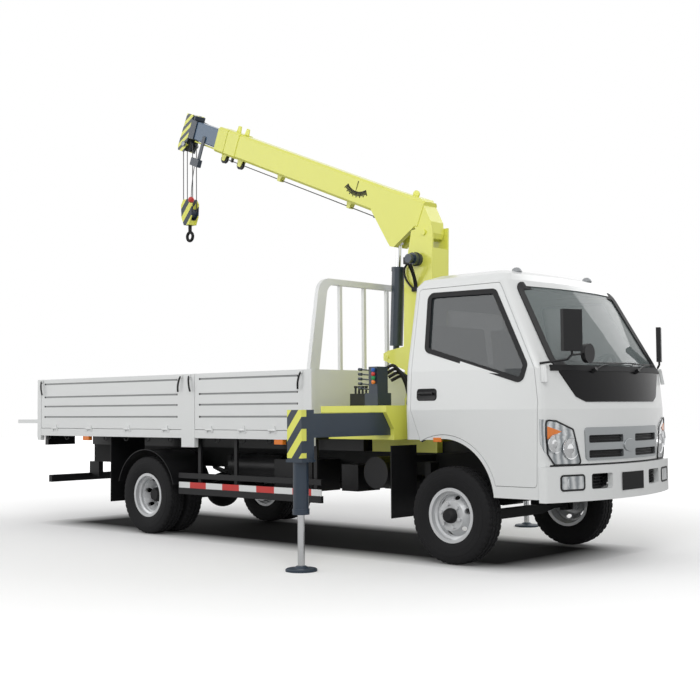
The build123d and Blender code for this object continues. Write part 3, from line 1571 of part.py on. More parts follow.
head_plate = 12.0
head_outline = [
    (3640.0, 240.0),
    (3735.0, 245.0),
    (3735.0, 296.0),
    (3842.0, 292.0),
    (3868.0, -90.0),
    (3852.0, -135.0),
    (3745.0, -135.0),
    (3728.0, 36.0),
    (3640.0, 36.0),
]
head_block = [
    (3700.0, 245.0),
    (3700.0, 292.0),
    (3842.0, 290.0),
    (3856.0, 60.0),
    (3740.0, 60.0),
    (3740.0, 245.0),
]
with BuildPart() as boom_inner:
    boom_box(boom_inner_start, boom_inner_end, boom_middle_t, inner_height, inner_width, bevel - 10.0)
    boom_box(
        boom_inner_start - 1.0,
        boom_inner_end - 20.0,
        boom_middle_t,
        inner_height - 2 * boom_wall,
        inner_width - 2 * boom_wall,
        bevel - 14.0,
        mode=Mode.SUBTRACT,
    )
    for side in (-1, 1):
        plate_low = min(side * inner_width / 2, side * (inner_width / 2 + head_plate))
        boom_plate(head_outline, plate_low, plate_low + head_plate)
    boom_plate(head_block, -inner_width / 2 - 1.0, inner_width / 2 + 1.0)
    sheave = boom_point(head_sheave_s, head_sheave_t)
    pin_end = inner_width / 2 + head_plate + 8.0
    bar((sheave.X, -pin_end, sheave.Z), (sheave.X, pin_end, sheave.Z), 20.0)
    for sheave_y in (-fall_y, fall_y):
        bar((sheave.X, sheave_y - 12.0, sheave.Z), (sheave.X, sheave_y + 12.0, sheave.Z), head_sheave_radius)
save(boom_inner, "boom_inner")

# Luff cylinder: barrel on the column's foot pin, rod to the boom's ear
luff_foot = Vector(lug_x, 0, luff_foot_z)
ear_pin = boom_point(ear_pin_s, ear_pin_t)
luff_vector = ear_pin - luff_foot
luff_length = luff_vector.length
luff_axis = luff_vector.normalized()


def luff_point(distance):
    return luff_foot + luff_axis * distance


def on_luff(low, high, radius, mode=Mode.ADD):
    start, end = luff_point(low), luff_point(high)
    bar((start.X, 0, start.Z), (end.X, 0, end.Z), radius, mode=mode)


with BuildPart() as luff_barrel:
    on_luff(luff_barrel_start, luff_barrel_end, luff_barrel_radius)
    on_luff(luff_barrel_end - 40.0, luff_barrel_end, luff_barrel_radius + 5.0)
    on_luff(0.0, luff_barrel_start + 5.0, 30.0)
    bar((lug_x, -62.0, luff_foot_z), (lug_x, 62.0, luff_foot_z), 42.0)
    bar((lug_x, -70.0, luff_foot_z), (lug_x, 70.0, luff_foot_z), luff_pin_radius + running_gap, mode=Mode.SUBTRACT)
    on_luff(luff_barrel_start + 45.0, luff_barrel_end + 1.0, luff_rod_radius + running_gap, mode=Mode.SUBTRACT)
save(luff_barrel, "luff_barrel")

with BuildPart() as luff_rod:
    on_luff(luff_rod_tail, luff_length, luff_rod_radius)
    bar((ear_pin.X, -ear_y + 5.0, ear_pin.Z), (ear_pin.X, ear_y - 5.0, ear_pin.Z), 42.0)
save(luff_rod, "luff_rod")

# Rope along the boom's underside, in its guides
rope_t = -46.0
guide_places = [745.0, 2180.0, 2990.0]
with BuildPart() as boom_rope:
    start, end = boom_point(700.0, rope_t), boom_point(boom_base_end + collar_length, rope_t)
    bar((start.X, 0, start.Z), (end.X, 0, end.Z), rope_radius)
    for guide_s in guide_places:
        boom_plate(
            [
                (guide_s - 9.0, rope_t - 12.0),
                (guide_s + 9.0, rope_t - 12.0),
                (guide_s + 9.0, boom_bottom_t - seat_gap - collar_grow / 2),
                (guide_s - 9.0, boom_bottom_t - seat_gap - collar_grow / 2),
            ],
            -14.0,
            14.0,
        )
save(boom_rope, "boom_rope")

# Hook block: falls of rope, cheek plates with the sheave between them, and the hook
hang_x = sheave.X
block_top_z = sheave.Z - block_drop + block_height / 2
block_bottom_z = block_top_z - block_height
fall_offset = head_sheave_radius + rope_radius + seat_gap
with BuildPart() as hoist_ropes:
    for fall_x in (-fall_offset, fall_offset):
        for rope_y in (-fall_y, fall_y):
            bar(
                (hang_x + fall_x, rope_y, block_top_z - 150.0),
                (hang_x + fall_x, rope_y, sheave.Z - 20.0),
                rope_radius,
            )
save(hoist_ropes, "hoist_ropes")

half_block = block_length / 2
with BuildPart() as hook_block:
    for side in (-1, 1):
        cheek_low = min(side * block_width / 2, side * (block_width / 2 - 14.0))
        plate(
            [
                (hang_x - half_block, block_top_z - 60.0),
                (hang_x - half_block + 40.0, block_top_z),
                (hang_x + half_block - 40.0, block_top_z),
                (hang_x + half_block, block_top_z - 60.0),
                (hang_x + half_block - 10.0, block_bottom_z + 90.0),
                (hang_x + 45.0, block_bottom_z),
                (hang_x - 45.0, block_bottom_z),
                (hang_x - half_block + 10.0, block_bottom_z + 90.0),
            ],
            cheek_low,
            cheek_low + 14.0,
        )
    bar(
        (hang_x, -block_width / 2, block_top_z - 150.0),
        (hang_x, block_width / 2, block_top_z - 150.0),
        head_sheave_radius,
    )
    block(
        (hang_x - 40.0, hang_x + 40.0),
        (-block_width / 2, block_width / 2),
        (block_bottom_z, block_bottom_z + 50.0),
    )
save(hook_block, "hook_block")

hook_centre_z = block_bottom_z - hook_drop + 20.0
with BuildPart() as hook:
    bar((hang_x, 0, block_bottom_z - seat_gap), (hang_x, 0, hook_centre_z + 40.0), 20.0)
    with Locations(Location((hang_x, 0, hook_centre_z), (90, 0, 0))):
        Torus(48.0, 17.0)
save(hook, "hook")
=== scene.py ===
"""Looks of a light cab-over truck with a drop-side bed and a slewing loader crane. Metres."""
import json
from math import atan2, cos, pi, radians, sin, sqrt, tan

import bmesh
import bpy
from mathutils import Matrix, Vector


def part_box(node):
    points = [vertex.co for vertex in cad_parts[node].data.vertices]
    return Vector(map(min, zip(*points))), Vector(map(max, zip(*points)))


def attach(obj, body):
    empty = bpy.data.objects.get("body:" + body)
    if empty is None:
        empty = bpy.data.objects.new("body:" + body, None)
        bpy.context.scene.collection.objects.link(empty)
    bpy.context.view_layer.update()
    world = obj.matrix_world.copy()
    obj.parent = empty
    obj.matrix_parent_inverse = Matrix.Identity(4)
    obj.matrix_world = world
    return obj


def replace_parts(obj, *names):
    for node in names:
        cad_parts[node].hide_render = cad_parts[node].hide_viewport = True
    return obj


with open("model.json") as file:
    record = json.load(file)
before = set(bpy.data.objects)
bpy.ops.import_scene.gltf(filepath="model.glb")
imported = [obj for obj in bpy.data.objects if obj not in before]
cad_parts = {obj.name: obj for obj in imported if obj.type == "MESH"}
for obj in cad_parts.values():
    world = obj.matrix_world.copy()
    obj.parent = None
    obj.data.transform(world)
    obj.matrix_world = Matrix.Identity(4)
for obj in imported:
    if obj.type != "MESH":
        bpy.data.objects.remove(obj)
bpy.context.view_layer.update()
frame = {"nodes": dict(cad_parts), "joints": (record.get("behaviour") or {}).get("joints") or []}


def node_centre(node):
    low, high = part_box(node)
    return (low + high) / 2


# Places that come from the frame
FRONT_X = node_centre("front_tyre_left").x
REAR_X = node_centre("rear_tyres_left").x
AXLE_Z = node_centre("front_tyre_left").z
TYRE_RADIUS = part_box("front_tyre_left")[1].z - AXLE_Z
JOINTS = {joint["name"]: joint for joint in frame["joints"]}
BOOM_PIN = Vector(JOINTS["luff"]["pos_m"])
BOOM_ALONG = Vector(JOINTS["middle_extend"]["axis"]).normalized()
BOOM_UP = Vector((BOOM_ALONG.z, 0, -BOOM_ALONG.x))
SLEW_X = JOINTS["slew"]["pos_m"][0]
SIDES = ((1, "left"), (-1, "right"))

# The camera, fitted to the photo: place, direction and lens
CAMERA_PLACE = (8.338, -8.438, 1.270)
CAMERA_TARGET = (0.633, 0.0, 1.844)
CAMERA_ROLL = -0.473
CAMERA_LENS = 59.53

# Colours, linear
WHITE = (0.80, 0.815, 0.81)
YELLOW = (0.84, 0.85, 0.135)
SLATE = (0.019, 0.034, 0.056)
INNER_BLUE = (0.075, 0.13, 0.21)
BLACK = (0.008, 0.008, 0.009)
RUBBER = (0.010, 0.010, 0.011)
GLOSS_BLACK = (0.005, 0.005, 0.006)
CHASSIS = (0.006, 0.0065, 0.007)
SILVER = (0.66, 0.67, 0.68)
STEEL = (0.33, 0.34, 0.35)
CHROME = (0.78, 0.79, 0.80)
GLASS_TINT = (0.24, 0.29, 0.29)
DARK_TINT = (0.045, 0.055, 0.06)
BEIGE = (0.36, 0.33, 0.29)
RED = (0.62, 0.03, 0.025)
ORANGE = (0.85, 0.22, 0.02)


# Materials
class Shader:
    """A procedural material being put together around one Principled shader."""

    def __init__(self, name, colour, roughness, metallic=0.0, coat=0.0):
        self.material = bpy.data.materials.new(name)
        self.material.use_nodes = True
        self.tree = self.material.node_tree
        self.bsdf = self.tree.nodes["Principled BSDF"]
        self.colour = colour
        self.set("Base Color", colour)
        self.set("Roughness", roughness)
        self.set("Metallic", metallic)
        self.set("Coat Weight", coat)
        self.place = self.node("ShaderNodeTexCoord").outputs["Object"]

    def node(self, kind):
        return self.tree.nodes.new(kind)

    def put(self, socket, value):
        """Sets a socket to a number or a colour, or links an output to it."""
        if isinstance(value, (int, float)):
            socket.default_value = value
        elif isinstance(value, tuple):
            socket.default_value = (*value, 1)
        else:
            self.tree.links.new(value, socket)

    def set(self, name, value):
        self.put(self.bsdf.inputs[name], value)

    def texture(self, kind, **values):
        """A texture over the piece's own coordinates."""
        node = self.node(kind)
        for key, value in values.items():
            self.put(node.inputs[key], value)
        self.put(node.inputs["Vector"], self.place)
        return node.outputs["Fac"]

    def noise(self, scale, detail=4.0, roughness=0.5):
        return self.texture("ShaderNodeTexNoise", Scale=scale, Detail=detail, Roughness=roughness)

    def math(self, operation, *values):
        node = self.node("ShaderNodeMath")
        node.operation = operation
        for socket, value in zip(node.inputs, values):
            self.put(socket, value)
        return node.outputs[0]

    def axis(self, name):
        node = self.node("ShaderNodeSeparateXYZ")
        self.put(node.inputs[0], self.place)
        return node.outputs[name]

    def side(self):
        """Distance from the middle plane of the truck."""
        return self.math("ABSOLUTE", self.axis("Y"))

    def along(self, direction, origin):
        """Distance along a direction from an origin."""
        node = self.node("ShaderNodeVectorMath")
        node.operation = "DOT_PRODUCT"
        self.put(node.inputs[0], self.place)
        node.inputs[1].default_value = direction
        return self.math("SUBTRACT", node.outputs["Value"], direction.dot(origin))

    def both(self, first, second):
        return self.math("MULTIPLY", first, second)

    def over(self, value, low):
        """1 where a value is above a limit."""
        return self.math("GREATER_THAN", value, low)

    def under(self, value, high):
        """1 where a value is below a limit."""
        return self.math("LESS_THAN", value, high)

    def limit(self, value, low, high):
        return self.math("MINIMUM", self.math("MAXIMUM", value, low), high)

    def mix(self, factor, first, second):
        node = self.node("ShaderNodeMix")
        node.data_type = "RGBA"
        for index, value in ((0, factor), (6, first), (7, second)):
            self.put(node.inputs[index], value)
        return node.outputs[2]

    def paint(self, colour_output):
        self.set("Base Color", colour_output)

    def worn(self, colour, low, high, scale=3.0):
        """A colour that drifts between two shares of itself."""
        return self.mix(self.noise(scale, 5.0), shaded(colour, low), shaded(colour, high))

    def stripes(self, phase, period, first, second):
        """Two colours in stripes of equal width along a phase."""
        share = self.math("FRACT", self.math("DIVIDE", phase, period))
        return self.mix(self.over(share, 0.5), first, second)

    def vary(self, scale, amount, spread=0.0):
        """Soft changes of shade, and of roughness where a spread is given."""
        field = self.noise(scale, 5.0, 0.6)
        self.paint(self.mix(field, shaded(self.colour, 1 - amount), shaded(self.colour, 1 + amount * 0.6)))
        if spread:
            base = self.bsdf.inputs["Roughness"].default_value
            self.set("Roughness", self.math("MULTIPLY_ADD", field, spread, base - spread / 2))

    def bump(self, height, strength, distance):
        node = self.node("ShaderNodeBump")
        for name, value in (("Strength", strength), ("Distance", distance), ("Height", height)):
            self.put(node.inputs[name], value)
        self.set("Normal", node.outputs["Normal"])

    def grain(self, scale=160.0, detail=2.0, strength=0.05, distance=0.001):
        """Fine relief, as of sprayed paint unless given."""
        self.bump(self.noise(scale, detail), strength, distance)


def shaded(colour, share):
    return tuple(min(1.0, channel * share) for channel in colour)


def one_colour(name, colour, roughness, vary, grain, specular=0.5, metallic=0.0, coat=0.0):
    """A material of one colour, with its changes of shade and its relief."""
    shader = Shader(name, colour, roughness, metallic, coat)
    shader.set("Specular IOR Level", specular)
    shader.vary(*vary)
    shader.grain(*grain)
    return shader.material


def paint_material(name, colour, roughness=0.32, coat=0.5, amount=0.03):
    """Sprayed paint with faint orange peel."""
    shader = Shader(name, colour, roughness, coat=coat)
    shader.set("Coat Roughness", 0.12)
    shader.vary(1.4, amount, 0.08)
    shader.grain(180.0, 2.0, 0.04)
    return shader.material


def plastic_material(name, colour, roughness=0.5):
    """Grained moulded plastic."""
    return one_colour(name, colour, roughness, (6.0, 0.12, 0.1), (700.0, 2.0, 0.15, 0.0006), 0.35)


def metal_material(name, colour, roughness, amount=0.1, metallic=1.0):
    vary, grain = (14.0, amount, 0.12), (260.0, 4.0, 0.06, 0.0006)
    return one_colour(name, colour, roughness, vary, grain, metallic=metallic)


def glass_material(name, tint, roughness, alpha):
    shader = Shader(name, tint, roughness)
    for socket, value in (("Alpha", alpha), ("IOR", 1.5), ("Specular IOR Level", 0.8)):
        shader.set(socket, value)
    shader.vary(0.8, 0.1)
    shader.grain(1.2, 1.0, 0.02, 0.01)
    return shader.material


def fabric_material(name, colour):
    """Woven seat cloth."""
    shader = Shader(name, colour, 0.85)
    shader.set("Sheen Weight", 0.3)
    shader.vary(60.0, 0.2)
    shader.bump(shader.texture("ShaderNodeTexWave", Scale=220.0), 0.25, 0.001)
    return shader.material


# Outrigger: start of its stripes, height of the jack box, pitch of the stripes
STRIPED_FROM_Y = 1.973
JACK_BOX = (0.882, 1.262)
HAZARD_PERIOD = 0.155


def outrigger_material():
    """Slate beam and barrel, with slanted yellow and slate stripes round the jack box's outer face."""
    shader = Shader("outrigger_paint", SLATE, 0.36, coat=0.4)
    height = shader.axis("Z")
    phase = shader.math("SUBTRACT", shader.axis("X"), shader.both(height, 0.82))
    striped = shader.stripes(shader.math("ADD", phase, 0.03), HAZARD_PERIOD, YELLOW, SLATE)
    boxed = shader.both(shader.over(height, JACK_BOX[0]), shader.under(height, JACK_BOX[1]))
    boxed = shader.both(boxed, shader.over(shader.side(), STRIPED_FROM_Y))
    shader.paint(shader.mix(boxed, shader.worn(SLATE, 0.85, 1.25), striped))
    shader.grain()
    return shader.material


PAD_TOP = 0.045


def jack_material():
    """Bright rod on a slate foot."""
    shader = Shader("jack_finish", CHROME, 0.16, 1.0)
    pad = shader.under(shader.axis("Z"), PAD_TOP)
    shader.paint(shader.mix(pad, CHROME, SLATE))
    shader.set("Metallic", shader.math("SUBTRACT", 1.0, pad))
    shader.set("Roughness", shader.math("MULTIPLY_ADD", pad, 0.3, 0.16))
    shader.grain(200.0, 3.0, 0.04, 0.0005)
    return shader.material


# Bed: top of the black rails, half width and top of the sills, half width and height of the deck
RAIL_TOP = 0.9895
SILL_HALF = 1.0345
SILL_TOP = 1.0635
DECK_HALF = 1.03
DECK_TOP = 1.0995


def bed_material():
    """White skirts and deck edge over a black underframe, with a grey steel deck."""
    shader = Shader("bed_paint", WHITE, 0.36, coat=0.3)
    height = shader.axis("Z")
    side = shader.side()
    sills = shader.both(shader.under(side, SILL_HALF), shader.under(height, SILL_TOP))
    frame_part = shader.math("MAXIMUM", shader.under(height, RAIL_TOP), sills)
    deck = shader.both(shader.under(side, DECK_HALF), shader.over(height, DECK_TOP))
    plain = shader.worn(WHITE, 0.97, 1.0, 1.4)
    floor = shader.mix(shader.noise(5.0, 6.0), (0.20, 0.205, 0.21), (0.30, 0.305, 0.31))
    shader.paint(shader.mix(frame_part, shader.mix(deck, plain, floor), CHASSIS))
    shader.grain()
    return shader.material


# Small lamps: the tail lamps' X, their rear face and the side markers' distance from the middle
TAIL_LAMPS_X = FRONT_X - 5.7
TAIL_FACE_X = FRONT_X - 5.7965
MARKER_SIDE = 1.03


def small_lamp_material():
    """Clear fog lamps, orange side markers and dark tail lamps with a red rear face."""
    shader = Shader("small_lamps", (0.72, 0.75, 0.77), 0.14, coat=1.0)
    reach = shader.axis("X")
    clear = shader.mix(shader.noise(60.0, 3.0), (0.50, 0.53, 0.55), (0.80, 0.82, 0.83))
    rear = shader.mix(shader.under(reach, TAIL_FACE_X), BLACK, RED)
    lamps = shader.mix(shader.under(reach, TAIL_LAMPS_X), clear, rear)
    shader.paint(shader.mix(shader.over(shader.side(), MARKER_SIDE), lamps, ORANGE))
    return shader.material


# Boom sections, as distances from the luff pin: head, its stripes, collar of the middle section
HEAD_START = 3.638
STRIPED_FROM = 3.735
MID_COLLAR_START = 3.05


def boom_tip_material():
    """Blue-grey inner boom, with slanted stripes over the outer part of its slate head."""
    shader = Shader("boom_tip_paint", INNER_BLUE, 0.36, coat=0.4)
    reach = shader.along(BOOM_ALONG, BOOM_PIN)
    rise = shader.along(BOOM_UP, BOOM_PIN)
    slant = shader.math("ADD", shader.both(reach, 0.777), shader.both(rise, 0.63))
    striped = shader.stripes(slant, 0.075, YELLOW, SLATE)
    plain = shader.worn(INNER_BLUE, 0.85, 1.2)
    head = shader.mix(shader.over(reach, HEAD_START), plain, SLATE)
    shader.paint(shader.mix(shader.over(reach, STRIPED_FROM), head, striped))
    shader.grain()
    return shader.material


def boom_mid_material():
    """Blue-grey section with a yellow collar."""
    shader = Shader("boom_mid_paint", INNER_BLUE, 0.36, coat=0.4)
    collar = shader.over(shader.along(BOOM_ALONG, BOOM_PIN), MID_COLLAR_START)
    shader.paint(shader.mix(collar, INNER_BLUE, shader.worn(YELLOW, 0.95, 1.0)))
    shader.grain()
    return shader.material


def hook_block_material():
    """Yellow block with slanted slate stripes."""
    shader = Shader("hook_block_paint", YELLOW, 0.38)
    phase = shader.math("SUBTRACT", shader.axis("X"), shader.both(shader.axis("Z"), 0.9))
    shader.paint(shader.stripes(phase, 0.17, SLATE, YELLOW))
    shader.grain(160.0, 3.0, 0.08, 0.001)
    return shader.material


def lens_material():
    """Clear fluted lamp lens, with the bright reflector behind it painted in as light and dark bands along
    the flutes.
    """
    shader = Shader("lamp_lens", (0.72, 0.75, 0.77), 0.12, 0.55, coat=1.0)
    flutes_and_glints = shader.texture("ShaderNodeTexWave", Scale=14.0, Distortion=2.0)
    # Painted reflection: the bands along the flutes stand for the reflector's light seen through the glass;
    # the same flutes give the relief
    shader.paint(shader.mix(flutes_and_glints, (0.34, 0.37, 0.39), (0.86, 0.88, 0.89)))
    shader.bump(flutes_and_glints, 0.3, 0.004)
    return shader.material


MATERIALS = {
    "white": paint_material("white_paint", WHITE),
    "yellow": paint_material("crane_yellow", YELLOW, 0.34, 0.5, 0.05),
    "slate": paint_material("crane_slate", SLATE, 0.36, 0.4, 0.2),
    "blue": boom_mid_material(),
    "boom_tip": boom_tip_material(),
    "outrigger": outrigger_material(),
    "hook_block": hook_block_material(),
    "jack": jack_material(),
    "bed": bed_material(),
    "small_lamps": small_lamp_material(),
    "tyre": one_colour("tyre_rubber", RUBBER, 0.8, (9.0, 0.35, 0.12), (420.0, 3.0, 0.12, 0.001), 0.3),
    "black": plastic_material("black_plastic", BLACK, 0.42),
    "gloss_black": one_colour("gloss_black", GLOSS_BLACK, 0.22, (2, 0.3, 0.05), (180, 2, 0.03, 0.001), 0.16),
    "shade": plastic_material("groove_shade", (0.36, 0.37, 0.37), 0.7),
    "tape_red": paint_material("tape_red", RED, 0.3, 0.3, 0.1),
    "blue_knob": plastic_material("blue_knob", (0.03, 0.12, 0.45), 0.35),
    "green_knob": plastic_material("green_knob", (0.03, 0.30, 0.10), 0.35),
    "seal": plastic_material("seal_rubber", RUBBER, 0.6),
    "chassis": one_colour("frame_black", CHASSIS, 0.6, (5.0, 0.4, 0.15), (90.0, 5.0, 0.1, 0.001), 0.3),
    "silver": metal_material("wheel_silver", SILVER, 0.36, 0.05, 0.35),
    "steel": metal_material("zinc_steel", STEEL, 0.42),
    "chrome": metal_material("chrome", CHROME, 0.12, 0.03),
    "grille": metal_material("grille_silver", (0.40, 0.42, 0.43), 0.32, 0.05, 0.8),
    "iron": metal_material("cast_iron", (0.05, 0.052, 0.055), 0.6, 0.3, 0.4),
    "rope": metal_material("rope_steel", (0.10, 0.10, 0.10), 0.5, 0.3, 0.8),
    "glass": glass_material("window_glass", GLASS_TINT, 0.02, 0.45),
    "dark_glass": glass_material("side_glass", DARK_TINT, 0.03, 0.72),
    "lens": lens_material(),
    "orange": glass_material("orange_lens", ORANGE, 0.15, 1.0),
    "red": glass_material("red_lens", RED, 0.15, 1.0),
    "beige": fabric_material("seat_cloth", BEIGE),
    "dash": plastic_material("dashboard", (0.045, 0.046, 0.05), 0.6),
}

# Material of each CAD node; a name with an open end stands for left and right
NODE_MATERIALS = {
    "bed": "bed_floor",
    "white": "bed_posts bumper cab_shell door_ dropside_front_ dropside_rear_ headboard hoop_guard tailgate",
    "yellow": "boom_base column crane_base",
    "slate": "control_station luff_barrel winch",
    "blue": "boom_mid",
    "boom_tip": "boom_inner",
    "outrigger": "outrigger_beam_",
    "hook_block": "hook_block",
    "jack": "jack_leg_",
    "chrome": "luff_rod",
    "black": "guard_rails mirrors mudguards side_tanks",
    "gloss_black": "front_panel",
    "chassis": "chassis_frame driveline front_axle hook knuckle_ rear_axle",
    "silver": "front_rim_ rear_rims_",
    "steel": "exhaust",
    "grille": "grille",
    "iron": "engine_block",
    "rope": "boom_rope hoist_ropes",
    "glass": "cab_glass",
    "dark_glass": "door_glass_",
    "lens": "headlamps",
    "small_lamps": "small_lamps",
    "dash": "dashboard",
    "beige": "seats",
    "tyre": "front_tyre_ rear_tyres_",
}


def dress_nodes():
    for key, names in NODE_MATERIALS.items():
        for name in names.split():
            for end in ("left", "right") if name.endswith("_") else ("",):
                for material_slot in frame["nodes"][name + end].material_slots:
                    material_slot.material = MATERIALS[key]


# Mesh helpers
SMOOTH_ANGLE = radians(32)


def add_object(name, data):
    made = bpy.data.objects.new(name, data)
    bpy.context.scene.collection.objects.link(made)
    return made


def make_piece(name, mesh_data, material, body="chassis", bevel=0.0):
    """Turns a bmesh into a piece that rides on a body."""
    bmesh.ops.recalc_face_normals(mesh_data, faces=mesh_data.faces)
    for face in mesh_data.faces:
        face.smooth = True
    for edge in mesh_data.edges:
        edge.smooth = len(edge.link_faces) == 2 and edge.calc_face_angle() < SMOOTH_ANGLE
    mesh = bpy.data.meshes.new(name)
    mesh_data.to_mesh(mesh)
    mesh_data.free()
    piece = add_object(name, mesh)
    mesh.materials.append(MATERIALS[material])
    if bevel:
        modifier = piece.modifiers.new("edges", "BEVEL")
        modifier.width = bevel
        modifier.segments = 2
        modifier.limit_method = "ANGLE"
    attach(piece, body)
    return piece


def add_box(mesh, corner, opposite):
    """A block between two opposite corners."""
    corner, opposite = Vector(corner), Vector(opposite)
    size = [abs(length) for length in opposite - corner]
    matrix = Matrix.Translation((opposite + corner) / 2) @ Matrix.Diagonal((*size, 1))
    bmesh.ops.create_cube(mesh, size=1.0, matrix=matrix)


def frame_along(direction):
    """Two unit vectors square to a direction."""
    direction = Vector(direction).normalized()
    helper = Vector((0, 0, 1)) if abs(direction.z) < 0.9 else Vector((1, 0, 0))
    first = direction.cross(helper).normalized()
    return first, direction.cross(first).normalized()


def add_rings(mesh, rings, loop=False):
    """Joins rings of equally many points into a skin with flat ends, or into a loop."""
    made = [[mesh.verts.new(point) for point in ring] for ring in rings]
    count = len(made[0])
    for lower, upper in zip(made, made[1:] + (made[:1] if loop else [])):
        for index in range(count):
            following = (index + 1) % count
            mesh.faces.new((lower[index], lower[following], upper[following], upper[index]))
    if not loop:
        mesh.faces.new(made[0][::-1])
        mesh.faces.new(made[-1])


def ring_around(centre, first, second, radius, segments):
    """Points of a circle spanned by two unit vectors."""
    angles = [2 * pi * index / segments for index in range(segments)]
    return [centre + (first * cos(angle) + second * sin(angle)) * radius for angle in angles]


def add_lathe(mesh, profile, origin, axis, segments=32):
    """Turns (distance along the axis, radius) pairs about an axis."""
    axis = Vector(axis).normalized()
    first, second = frame_along(axis)
    rings = []
    for distance, radius in profile:
        centre = Vector(origin) + axis * distance
        rings.append(ring_around(centre, first, second, max(radius, 1e-5), segments))
    add_rings(mesh, rings)


def add_cylinder(mesh, start, end, radius, segments=20, edge=0.0):
    """A round bar with its edges broken."""
    start, end = Vector(start), Vector(end)
    length = (end - start).length
    profile = [(0, radius), (length, radius)]
    if edge:
        profile = [(0, radius - edge), (edge, radius), (length - edge, radius), (length, radius - edge)]
    add_lathe(mesh, profile, start, end - start, segments)


def smooth_path(points, steps=8):
    """Points on a curve through all the given points."""
    points = [Vector(point) for point in points]
    padded = [2 * points[0] - points[1], *points, 2 * points[-1] - points[-2]]
    path = []
    for index in range(1, len(padded) - 2):
        before, start, end, after = padded[index - 1 : index + 3]
        for step in range(steps):
            t = step / steps
            linear = 2 * start + (end - before) * t
            square = (2 * before - 5 * start + 4 * end - after) * t**2
            cube = (3 * start - before - 3 * end + after) * t**3
            path.append(0.5 * (linear + square + cube))
    path.append(points[-1])
    return path


def add_tube(mesh, points, radius, segments=10, steps=8):
    """A hose or pipe along a curve through the points."""
    path = smooth_path(points, steps)
    first, second = frame_along(path[1] - path[0])
    rings = []
    for index, point in enumerate(path):
        ahead = path[min(index + 1, len(path) - 1)]
        behind = path[max(index - 1, 0)]
        direction = (ahead - behind).normalized()
        first = (first - direction * first.dot(direction)).normalized()
        second = direction.cross(first)
        rings.append(ring_around(point, first, second, radius, segments))
    add_rings(mesh, rings)


def add_plate(mesh, outline, offset):
    """A plate whose outline is 3-D points, thickened by an offset vector."""
    lower = [Vector(point) for point in outline]
    add_rings(mesh, [lower, [point + Vector(offset) for point in lower]])


def rounded(points, radius, steps=6):
    """A closed 2-D outline with its corners rounded."""
    result = []
    count = len(points)
    for index, corner in enumerate(points):
        corner = Vector(corner)
        before = (Vector(points[index - 1]) - corner).normalized()
        after = (Vector(points[(index + 1) % count]) - corner).normalized()
        half = before.angle(after) / 2
        reach = radius / tan(half)
        start, end = corner + before * reach, corner + after * reach
        middle = corner + (before + after).normalized() * (radius / sin(half))
        first = atan2(start.y - middle.y, start.x - middle.x)
        turn = atan2(end.y - middle.y, end.x - middle.x) - first
        turn = (turn + pi) % (2 * pi) - pi
        for step in range(steps + 1):
            angle = first + turn * step / steps
            result.append((middle.x + radius * cos(angle), middle.y + radius * sin(angle)))
    return result


# Cab surface, in metres: height, half width, front at the middle, front at the corners
CAB_ROWS = [
    (0.560, 0.965, 1.085, 0.885),
    (1.250, 0.985, 1.085, 0.888),
    (1.567, 0.968, 1.040, 0.868),
    (2.285, 0.838, 0.590, 0.490),
    (2.345, 0.780, 0.520, 0.450),
    (2.385, 0.660, 0.400, 0.350),
]


def cab_row(z):
    """Half width, front at the middle and front at the corners at a height."""
    for lower, upper in zip(CAB_ROWS, CAB_ROWS[1:]):
        if z <= upper[0] or upper is CAB_ROWS[-1]:
            share = (z - lower[0]) / (upper[0] - lower[0])
            return [low + (high - low) * share for low, high in zip(lower[1:], upper[1:])]


def bowed(y, z, half, middle, bow, proud):
    """A point on a face that falls back by its bow from the middle to its half width."""
    radius = (bow * bow + half * half) / (2 * bow)
    return Vector((FRONT_X + middle - radius + sqrt(radius * radius - y * y) + proud, y, z))


def cab_front(y, z, proud=0.0):
    """A point on the cab's curved front, or proud of it."""
    half, middle, corner = cab_row(z)
    return bowed(y, z, half, middle, middle - corner, proud)


def cab_side(x, z, side, proud=0.0):
    """A point on the cab's side wall, x counted from the front axle."""
    return Vector((FRONT_X + x, side * (cab_row(z)[0] + proud), z))


def add_strip(mesh, points, normals, width, thickness, closed=True):
    """A flat strip along points on a surface, as wide as given and as thick, its middle on the points."""
    count = len(points)
    rings = []
    for index, point in enumerate(points):
        ahead = points[(index + 1) % count] if closed or index + 1 < count else point
        behind = points[index - 1] if closed or index else point
        direction = (ahead - behind).normalized()
        normal = normals[index].normalized()
        across = direction.cross(normal).normalized() * (width / 2)
        lift = normal * thickness
        rings.append([point - across, point + across, point + across + lift, point - across + lift])
    add_rings(mesh, rings, loop=closed)


# Tyres: blocks round the tyre, half width, bead and depth of a cross cut
TREAD_BLOCKS = 44
TYRE_HALF = 0.100
BEAD_RADIUS = 0.222
SIPE_DEPTH = 0.007
# Half a tyre's section from the bead: distance from the middle, radius
SIDEWALL = [
    (0.070, BEAD_RADIUS - 0.016), (0.076, BEAD_RADIUS + 0.002), (0.083, BEAD_RADIUS + 0.010),
    (0.0925, 0.255), (0.0985, 0.285), (0.0975, 0.2875), (0.1010, 0.306), (0.1000, 0.330),
    (0.0975, 0.333), (0.0965, 0.350), (0.0925, 0.362),
]
# Its tread: distance from the middle, depth, whether a rib
TREAD = [
    (0.0900, 0.022, True), (0.0830, 0.010, True), (0.0790, 0.0062, True), (0.0520, 0.0026, True),
    (0.0490, 0.011, False), (0.0430, 0.011, False), (0.0400, 0.0012, True), (0.0090, 0.0, True),
    (0.0060, 0.011, False),
]


